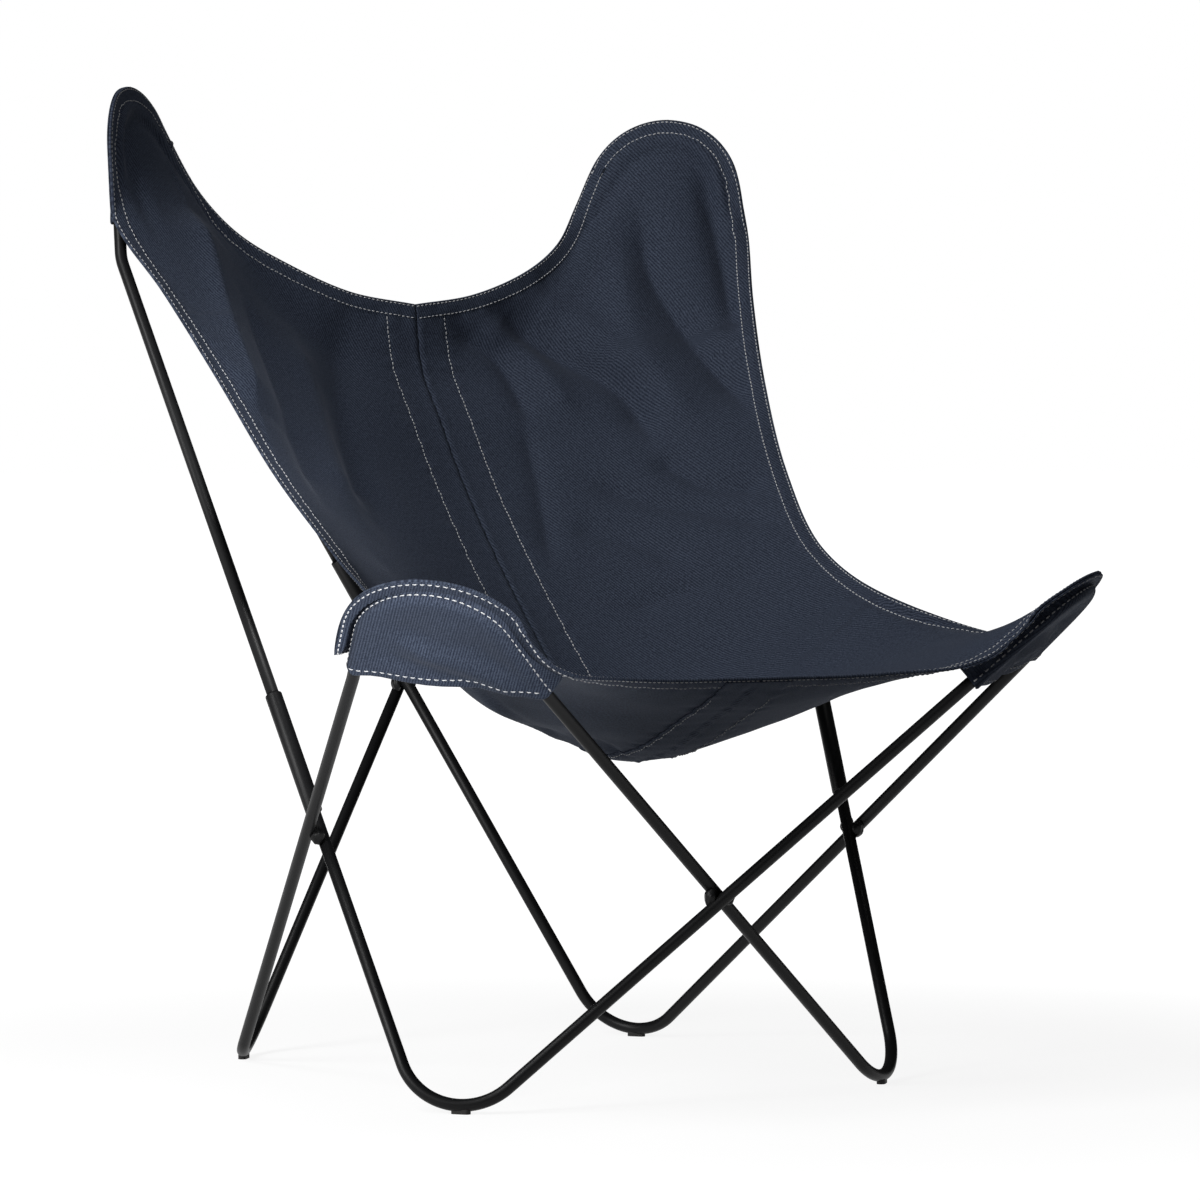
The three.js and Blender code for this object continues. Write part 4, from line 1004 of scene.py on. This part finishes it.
def pocket_flange(half, e, pocket, stations):
    """The flange at each station: its columns' margins, kept to the sling's edge, and the cloth's lift."""
    middle = surface_finder(half["surface"], quads_of(half["surface"].shape[:2]))

    def cloth_lift(beside, margin):
        hit = middle.ray_cast(Vector(beside(margin, -PROBE_START)), Vector(e["inward"]), PROBE_REACH)
        return None if hit[0] is None else hit[3] - PROBE_START

    outer_end, inner_end = FLANGE_MARGINS[0], FLANGE_MARGINS[-1]
    margins, lifts = [], []
    for number, (beside, _) in enumerate(stations):
        reach, spread = outer_end, 0
        while reach > inner_end + 3 and cloth_lift(beside, reach) is None:
            reach -= FLANGE_STEP
        if number > len(stations) / 2:
            while spread < pocket["spread"] and cloth_lift(beside, reach + spread + FLANGE_STEP) is not None:
                spread += FLANGE_STEP
        scale = (reach - inner_end) / (outer_end - inner_end)
        row = [inner_end + (margin - inner_end) * scale + spread for margin in FLANGE_MARGINS]
        found = [cloth_lift(beside, margin) for margin in row]
        fallback = next((lift for lift in found if lift is not None), FLANGE_LIFT)
        margins.append(row)
        lifts.append([fallback if lift is None else lift for lift in found])
    return smoothed(margins, 3), smoothed(lifts, 8)


def pocket_wrinkles(e, which, points, across, rise):
    """Slack cloth between the pocket's sides: soft diagonal wrinkles, held at the rod."""
    hold = smoothstep((-ear_margin(e, across, rise) - 1) / 22)
    push = np.sin((across * 0.8 + rise) / 9.5 + 2.2 * broad_noise(points, 55, 3)) * 0.9
    push += np.sin((across - 0.9 * rise) / 14 + 3 * broad_noise(points, 70, 5)) * 0.8
    push += 1.2 + broad_noise(points, 45, 8) * 1.4
    if which == "front":
        crease, _ = line_distance(np.stack((across, rise), 1), WRINKLE)
        push += 2.2 * bell(crease - 20, 9) - 3.4 * bell(crease, 10, 1.5)
    return hold * push


def mouth_rise(e, pocket, across):
    """How far up the ear its pocket's mouth lies, from its outer end to its inner end."""
    share = np.clip(across / e["half"], -1, 1) / 2 + 0.5
    return pocket["outer"] + (pocket["inner"] - pocket["outer"]) * share


def pocket_thickness(e, pocket, across, rise):
    """Half the pocket's thickness: doubled in the mouth's hem, and drawn in along its row of stitches."""
    up = rise - mouth_rise(e, pocket, across)
    under = ear_margin(e, across, rise) < 4
    return POCKET / 2 + (0.55 * (1 - smoothstep((up - 11) / 1.5)) - 0.25 * bell(up - MOUTH_ROW, 1.4)) * under


def make_pocket(half, which, pocket, canvas):
    """The under layer of an ear: sewn under the hem, round the rod's outside, then flat to its mouth."""
    side, e = half["side"], half["ears"][which]
    stations = pocket_stations(e, pocket)
    last = len(stations) - 1
    layers = HEM / 2 + POCKET / 2 + LAYER_SLACK
    points = []
    for (beside, spine), row, lifts in zip(stations, *pocket_flange(half, e, pocket, stations)):
        for margin, nominal, lift in zip(row, FLANGE_MARGINS, lifts):
            drop = layers - 0.5 * smoothstep((MARGIN - HEM_WIDTH + 2.5 - nominal) / 2)
            points.append(beside(margin, lift - drop))
        points += [beside(POCKET_UNDER * math.cos(a), POCKET_UNDER * math.sin(a)) for a in POCKET_TURN]
        rim, middle = beside(-ROD_RADIUS, -POCKET_UNDER), on_ear(e, 0, spine, -POCKET_UNDER)
        points += part_way(rim, middle, POCKET_INWARD)
    columns = len(points) // len(stations)
    spine_start = len(points)
    points += [on_ear(e, 0, spine, -POCKET_UNDER) for _, spine in stations[:POCKET_SIDE_STEPS + 1]]
    points = np.array(points)

    def at(row, column):
        if column < columns:
            return row * columns + column
        return spine_start + min(row, last - row, POCKET_SIDE_STEPS)

    quads = []
    for row in range(last):
        for column in range(columns):
            quad = (at(row, column), at(row + 1, column), at(row + 1, column + 1), at(row, column + 1))
            quads.append(quad if side > 0 else quad[::-1])
    quads = np.array(quads)
    across, rise, _ = ear_places(e, points)
    points = points + pocket_wrinkles(e, which, points, across, rise)[:, None] * e["inward"]
    size = pocket_thickness(e, pocket, across, rise)
    placed = place_side(points, side)
    name = f"ear_pocket_{which}_{side_name(side)}"
    uvs = np.stack((across * side, rise), 1)
    piece, _, outer, normals = cloth_piece(name, placed, quads, size, uvs, canvas)
    lines = []
    for column in (FLANGE_ROW, len(FLANGE_MARGINS)):
        index = np.arange(last + 1) * columns + column
        lines.append((outer[index], -normals[index], LONG_STITCH))
    if which == "front":
        # short rows close the flange at its two ends
        for row in (1, last - 1):
            index = row * columns + np.arange(1, len(FLANGE_MARGINS))
            lines.append((outer[index], -normals[index], FINE_STITCH))
    # the mouth's row runs across the ear at a distance above the mouth
    probes = []
    for x in np.linspace(-e["half"] - 2, e["half"] + 6, 60):
        probes.append(on_ear(e, x, mouth_rise(e, pocket, x) + MOUTH_ROW, -POCKET_UNDER - 2))
    line, n = snapped(surface_finder(outer, quads), place_side(np.array(probes), side))
    lines.append((line, -n, LONG_STITCH))
    return piece, lines, quad_area(placed, quads)


# Frame rods
def fillet(before, corner, after, radius):
    back, onward = unit(before - corner), unit(after - corner)
    half = math.acos(np.clip(back @ onward, -1, 1)) / 2
    return {
        "centre": corner + unit(back + onward) * radius / math.sin(half),
        "start": corner + back * radius / math.tan(half),
        "axis": unit(np.cross(onward, back)),
        "turn": math.pi - 2 * half,
    }


def turned(v, axis, angle):
    c, s = math.cos(angle), math.sin(angle)
    return v * c + np.cross(axis, v) * s + axis * (axis @ v) * (1 - c)


def floor_corner(x, y, before, after):
    """The corner of a leg's floor bend, so low that the bend's underside comes to the foot pad."""
    corner = np.array((x, y, 0.0))
    for _ in range(8):
        bend = fillet(before, corner, after, FOOT["bend"])
        down = unit(-UP + bend["axis"] * (UP @ bend["axis"]))
        corner[2] += ROD_RADIUS + PAD_UNDER - (bend["centre"] + down * FOOT["bend"])[2]
    return corner


def frame_points():
    """The kinks and floor corners that one loop goes through."""
    front_outer, front_inner = (np.array(FRONT_KINKS[name], float) for name in ("outer", "inner"))
    rear_outer, rear_inner = (np.array(REAR_KINKS[name], float) * MIRROR for name in ("outer", "inner"))
    depth = FOOT["depth"] / 2
    return {
        "front_outer": front_outer, "front_inner": front_inner,
        "rear_outer": rear_outer, "rear_inner": rear_inner,
        "rear_foot": floor_corner(-FOOT["rear"] / 2, depth, rear_inner, front_outer),
        "front_foot": floor_corner(FOOT["front"] / 2, -depth, front_inner, rear_outer),
    }


def bent_path(corners, radii):
    path = [corners[0]]
    for i, radius in enumerate(radii):
        bend = fillet(*corners[i:i + 3], radius)
        arm = bend["start"] - bend["centre"]
        count = max(3, math.ceil(bend["turn"] / BEND_STEP))
        # the axis points so that a turn about it carries the way in to the way out
        for k in range(count + 1):
            path.append(bend["centre"] + turned(arm, bend["axis"], bend["turn"] * k / count))
    return np.array([*path, corners[-1]])


def tube(name, path, paint):
    """A rod along a path, with closed ends."""
    tangents = unit(np.gradient(path, axis=0))
    tangents[0], tangents[-1] = unit(path[1] - path[0]), unit(path[-1] - path[-2])
    side = unit(np.cross(tangents[0], UP + np.array((0.3, 0.1, 0))))
    points = []
    for at, t in zip(path, tangents):
        side = unit(side - t * (side @ t))
        points += ellipse(at, ROD_RADIUS * side, ROD_RADIUS * np.cross(t, side), TUBE_SIDES)
    return new_object(name, points, tube_faces(len(path), TUBE_SIDES), paint)


def sleeve_profile():
    """The sleeve's outline turned about the rod: (radius, height) from the bore's foot round to its top."""
    bore = ROD_RADIUS + SEAT_GAP / 2
    out = (ROD_RADIUS + SEAT_GAP) / math.cos(math.pi / 24) + SLEEVE["wall"]
    c, length = SLEEVE["chamfer"], SLEEVE["length"]
    foot = [(bore, 0), *((out + c * outward, c * inward) for outward, inward in SLEEVE_END)]
    return foot + [(radius, length - height) for radius, height in reversed(foot)]


def sleeve(name, start, heading, paint):
    side = unit(np.cross(heading, (0.3, 0.2, 1)))
    other = np.cross(heading, side)
    profile = sleeve_profile()
    points = []
    for radius, height in profile:
        points += ellipse(start + heading * height, radius * side, radius * other, SLEEVE_SIDES)
    return new_object(name, points, ring_faces(len(profile), SLEEVE_SIDES, around=True), paint)


def moved(p, side):
    return np.array((p[0] * side, p[1] + side * LOOP_STAGGER / 2, p[2]))


def apex(e):
    """Where the ear's two straight sides would meet."""
    so, si = math.tan(e["outer_angle"]), math.tan(e["inner_angle"])
    rise = 2 * e["half"] * so * si / (so + si)
    return on_ear(e, rise / so - e["half"], rise, 0)


def crossing(a, b):
    """The nearest places of two legs, each given by its foot and its top."""
    (foot_a, top_a), (foot_b, top_b) = a, b
    da, db = unit(top_a - foot_a), unit(top_b - foot_b)
    offset, like = foot_a - foot_b, da @ db
    ta = (like * (db @ offset) - da @ offset) / (1 - like * like)
    tb = (like * (da @ -offset) - db @ -offset) / (1 - like * like)
    return {"a": foot_a + da * ta, "b": foot_b + db * tb, "da": da, "db": db, "ta": ta, "tb": tb}


def make_frame(paint):
    """The rods, sleeves and weld beads, each with the CAD node that it stands for."""
    points = frame_points()
    outer, inner = points["front_outer"], points["front_inner"]
    legs = {
        "rear_inner": (points["rear_foot"], points["rear_inner"]),
        "rear_outer": (points["front_foot"], points["rear_outer"]),
        "front_inner": (points["front_foot"], inner),
        "front_outer": (points["rear_foot"], outer),
    }

    def leg(name, side):
        return [moved(p, side) for p in legs[name]]

    crossings = {
        "front": crossing(leg("front_inner", 1), leg("front_inner", -1)),
        "rear": crossing(leg("rear_inner", 1), leg("rear_inner", -1)),
        "left": crossing(leg("front_outer", 1), leg("rear_outer", -1)),
        "right": crossing(leg("front_outer", -1), leg("rear_outer", 1)),
    }
    above = ROD_RADIUS + SLEEVE["above"]
    starts = {
        "rear_inner": crossings["rear"]["ta"] + above,
        "rear_outer": max(crossings["left"]["tb"], crossings["right"]["tb"]) + above,
    }

    def split(name, gap):
        """Where a leg's rod ends in its sleeve, on the base's side of the middle (-1) or the loop's (1)."""
        foot, top = legs[name]
        return foot + unit(top - foot) * (starts[name] + SLEEVE["length"] / 2 + gap * ROD_END_GAP / 2)

    pieces = []
    for side, left, right in ((1, "left", "right"), (-1, "right", "left")):
        base = [split("rear_inner", -1), points["rear_foot"], outer, apex(front_ear()), inner,
                points["front_foot"], split("rear_outer", -1)]
        back = [split("rear_inner", 1), points["rear_inner"], apex(rear_ear(right)) * MIRROR,
                points["rear_outer"], split("rear_outer", 1)]
        base_radii = (FOOT["bend"], KINK_RADIUS, FRONT_EAR["radius"], KINK_RADIUS, FOOT["bend"])
        back_radii = (KINK_RADIUS, REAR_EAR["radius"], KINK_RADIUS)
        path = bent_path([moved(p, side) for p in base], base_radii)
        pieces.append((tube(f"rod_base_{left}", path, paint), f"base_rod_{left}"))
        path = bent_path([moved(p, side) for p in back], back_radii)
        pieces.append((tube(f"rod_back_{right}", path, paint), f"back_loop_{right}"))
        for name in ("inner", "outer"):
            foot, top = leg(f"rear_{name}", side)
            heading = unit(top - foot)
            start = foot + heading * starts[f"rear_{name}"]
            piece = sleeve(f"rod_sleeve_{name}_{right}", start, heading, paint)
            pieces.append((piece, f"sleeve_{name}_{right}"))
    for name, cross in crossings.items():
        for sign, letter in ((1, "a"), (-1, "b")):
            pieces.append((weld(f"bead_{name}_{letter}", cross, sign, paint), f"weld_{name}_{letter}"))
    return pieces


def weld(name, cross, sign, paint):
    """A rippled bead of weld in one corner of a crossing."""
    through = unit(cross["b"] - cross["a"])
    corner = cross["da"] - cross["db"]
    corner = unit(corner - through * (corner @ through))
    lengthwise = unit(np.cross(through, corner))
    half_corner = math.acos(np.clip(cross["da"] @ -cross["db"], -1, 1)) / 2
    away = sign * (ROD_RADIUS / math.sin(half_corner) + BEAD["width"] / 8)
    place = (cross["a"] + cross["b"]) / 2 + corner * away
    points = []
    for i in range(BEAD_RINGS + 1):
        polar = math.pi * i / BEAD_RINGS
        for x, y, z in ellipse(UP * math.cos(polar), np.array((math.sin(polar), 0, 0)),
                               np.array((0, math.sin(polar), 0)), BEAD_SIDES):
            swell = 1 + 0.05 * math.sin(9 * z + 1.5 * x) + 0.05 * math.sin(5 * y + 3 * x + sign)
            points.append(place + swell / 2 * (corner * x * BEAD["width"] + lengthwise * y * BEAD["length"]
                                               + through * z * BEAD["depth"]))
    piece = new_object(name, points, ring_faces(BEAD_RINGS + 1, BEAD_SIDES), paint)
    bm = bmesh.new()
    bm.from_mesh(piece.data)
    bmesh.ops.remove_doubles(bm, verts=bm.verts, dist=1e-5)
    bmesh.ops.recalc_face_normals(bm, faces=bm.faces)
    bm.to_mesh(piece.data)
    bm.free()
    return piece


# Camera, stage and lamps
def add_camera():
    az, el, roll = (math.radians(a) for a in CAMERA_TURN)
    back = Vector((math.sin(az) * math.cos(el), -math.cos(az) * math.cos(el), math.sin(el)))
    right = Vector((math.cos(az), math.sin(az), 0))
    up = back.cross(right)
    x = math.cos(roll) * right + math.sin(roll) * up
    y = -math.sin(roll) * right + math.cos(roll) * up
    data = bpy.data.cameras.new("camera")
    data.sensor_width = SENSOR
    data.lens = FOCAL_PIXELS * SENSOR / PHOTO_PIXELS
    data.clip_end = 100
    camera = shown("camera", data)
    eye = Vector((CAMERA_EYE[0], CAMERA_EYE[1] + FRAME_SHIFT, CAMERA_EYE[2])) * MM
    camera.matrix_world = Matrix.Translation(eye) @ Matrix((x, y, back)).transposed().to_4x4()
    bpy.context.scene.camera = camera


def add_stage():
    """A floor that keeps the shadow near the chair and glows white further out, and a white world."""
    n = Nodes(bpy.data.materials.new("floor"))
    path = n.add("ShaderNodeLightPath").outputs
    n.feed(n.shader.inputs["Base Color"], n.mix(path["Is Camera Ray"], FLOOR_LIT, FLOOR_SEEN))
    n.feed(n.shader.inputs["Roughness"], 0.9)
    n.feed(n.shader.inputs["Specular IOR Level"], 0.0)
    reach = n.add("ShaderNodeVectorMath", operation="LENGTH")
    n.feed(reach.inputs[0], n.place())
    fade = n.add("ShaderNodeMapRange", interpolation_type="SMOOTHSTEP")
    for socket, value in (*FLOOR_FADE, ("Value", reach.outputs["Value"])):
        n.feed(fade.inputs[socket], value)
    seen = n.math("MAXIMUM", path["Is Camera Ray"], path["Is Glossy Ray"])
    seen = n.math("MAXIMUM", seen, path["Is Transmission Ray"])
    mix = n.add("ShaderNodeMixShader")
    glow = n.add("ShaderNodeEmission", Strength=FLOOR_GLOW)
    for socket, value in zip(mix.inputs, (n.math("MULTIPLY", seen, fade.outputs[0]),
                                          n.shader.outputs[0], glow.outputs[0])):
        n.feed(socket, value)
    n.feed(n.tree.nodes["Material Output"].inputs[0], mix.outputs[0])
    mesh = bpy.data.meshes.new("floor")
    corners = [(x * FLOOR_SIZE, y * FLOOR_SIZE, 0) for x, y in ((-1, -1), (1, -1), (1, 1), (-1, 1))]
    mesh.from_pydata(corners, [], [(0, 1, 2, 3)])
    mesh.materials.append(n.owner)
    shown("floor", mesh)
    world = bpy.data.worlds.new("studio")
    bpy.context.scene.world = world
    n = Nodes(world)
    seen = n.add("ShaderNodeLightPath").outputs["Is Camera Ray"]
    background = n.tree.nodes["Background"]
    n.feed(background.inputs["Color"], WHITE)
    n.feed(background.inputs["Strength"], n.math("MULTIPLY_ADD", seen, 1 - WORLD_FILL, WORLD_FILL))


def add_lamp(name, azimuth, height, distance, size, power, target=CHAIR_MIDDLE, cone=None):
    """A soft lamp that looks at a target; azimuth is from the front, towards positive x."""
    az = math.radians(azimuth)
    place = Vector((distance * math.sin(az), -distance * math.cos(az), height))
    data = bpy.data.lights.new(name, "SPOT" if cone else "AREA")
    if cone:
        data.spot_size, data.spot_blend = math.radians(cone), 1.0
        data.shadow_soft_size = size / 2
    else:
        data.shape = "DISK"
        data.size = size
    data.energy = power
    lamp = shown(name, data)
    lamp.location = place
    lamp.rotation_euler = (Vector(target) - place).to_track_quat("-Z", "Y").to_euler()


# The chair
def declare_cloth(piece, seams, node, width, area):
    for p in (piece, seams):
        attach(p, "root")
    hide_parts(node)


def sling_rows(half, pockets):
    """The rows of stitches on a panel's hems, above and below, and beside the band."""
    graph = bpy.context.evaluated_depsgraph_get()
    trees = [BVHTree.FromObject(pocket, graph) for pocket in pockets]
    lines = []
    for row in HEM_ROWS:
        lines.append((*edge_rows(half, row, "upper", 1), FINE_STITCH))
        below = free_stretches(*edge_rows(half, row, "lower", -1), trees)
        lines += [(*stretch, FINE_STITCH) for stretch in below]
    lines.append((*band_rows(half, BAND_ROW), FINE_STITCH))
    return lines


def build():
    bpy.context.scene.view_settings.view_transform = "Standard"
    add_camera()
    canvas, thread = canvas_material(), thread_material()
    paint, rubber = paint_material(), rubber_material()
    for name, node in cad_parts.items():
        if name.startswith("foot_pad"):
            node.data.materials.clear()
            node.data.materials.append(rubber)
    for piece, node in make_frame(paint):
        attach(piece, "root")
        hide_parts(node)
    coarse = {side: coarse_half(side) for side in (1, -1)}
    halves = [half_surface(side, coarse[side][0], coarse[-side][0], coarse[side][1]) for side in (1, -1)]
    panels = [make_panel(half, canvas) for half in halves]
    for half, panel in zip(halves, panels):
        name = side_name(half["side"])
        pockets = []
        for which, pocket, rod in (("front", FRONT_POCKET, "base"), ("rear", REAR_POCKET, "back")):
            piece, lines, area = make_pocket(half, which, pocket, canvas)
            seams = stitches(lines, f"pocket_stitches_{which}_{name}", thread)
            declare_cloth(piece, seams, f"pocket_{which}_{name}", POCKET_CUT, area)
            pockets.append(piece)
        seams = stitches(sling_rows(half, pockets), f"sling_stitches_{name}", thread)
        declare_cloth(panel, seams, f"sling_panel_{name}", SLING_CUT, half["area"])
    band, lines, area = make_band(halves, canvas)
    seams = stitches(lines, "seam_tape_stitches", thread)
    declare_cloth(band, seams, "seam_band", BAND_CUT, area)
    add_stage()
    for lamp in LAMPS:
        add_lamp(**lamp)


build()
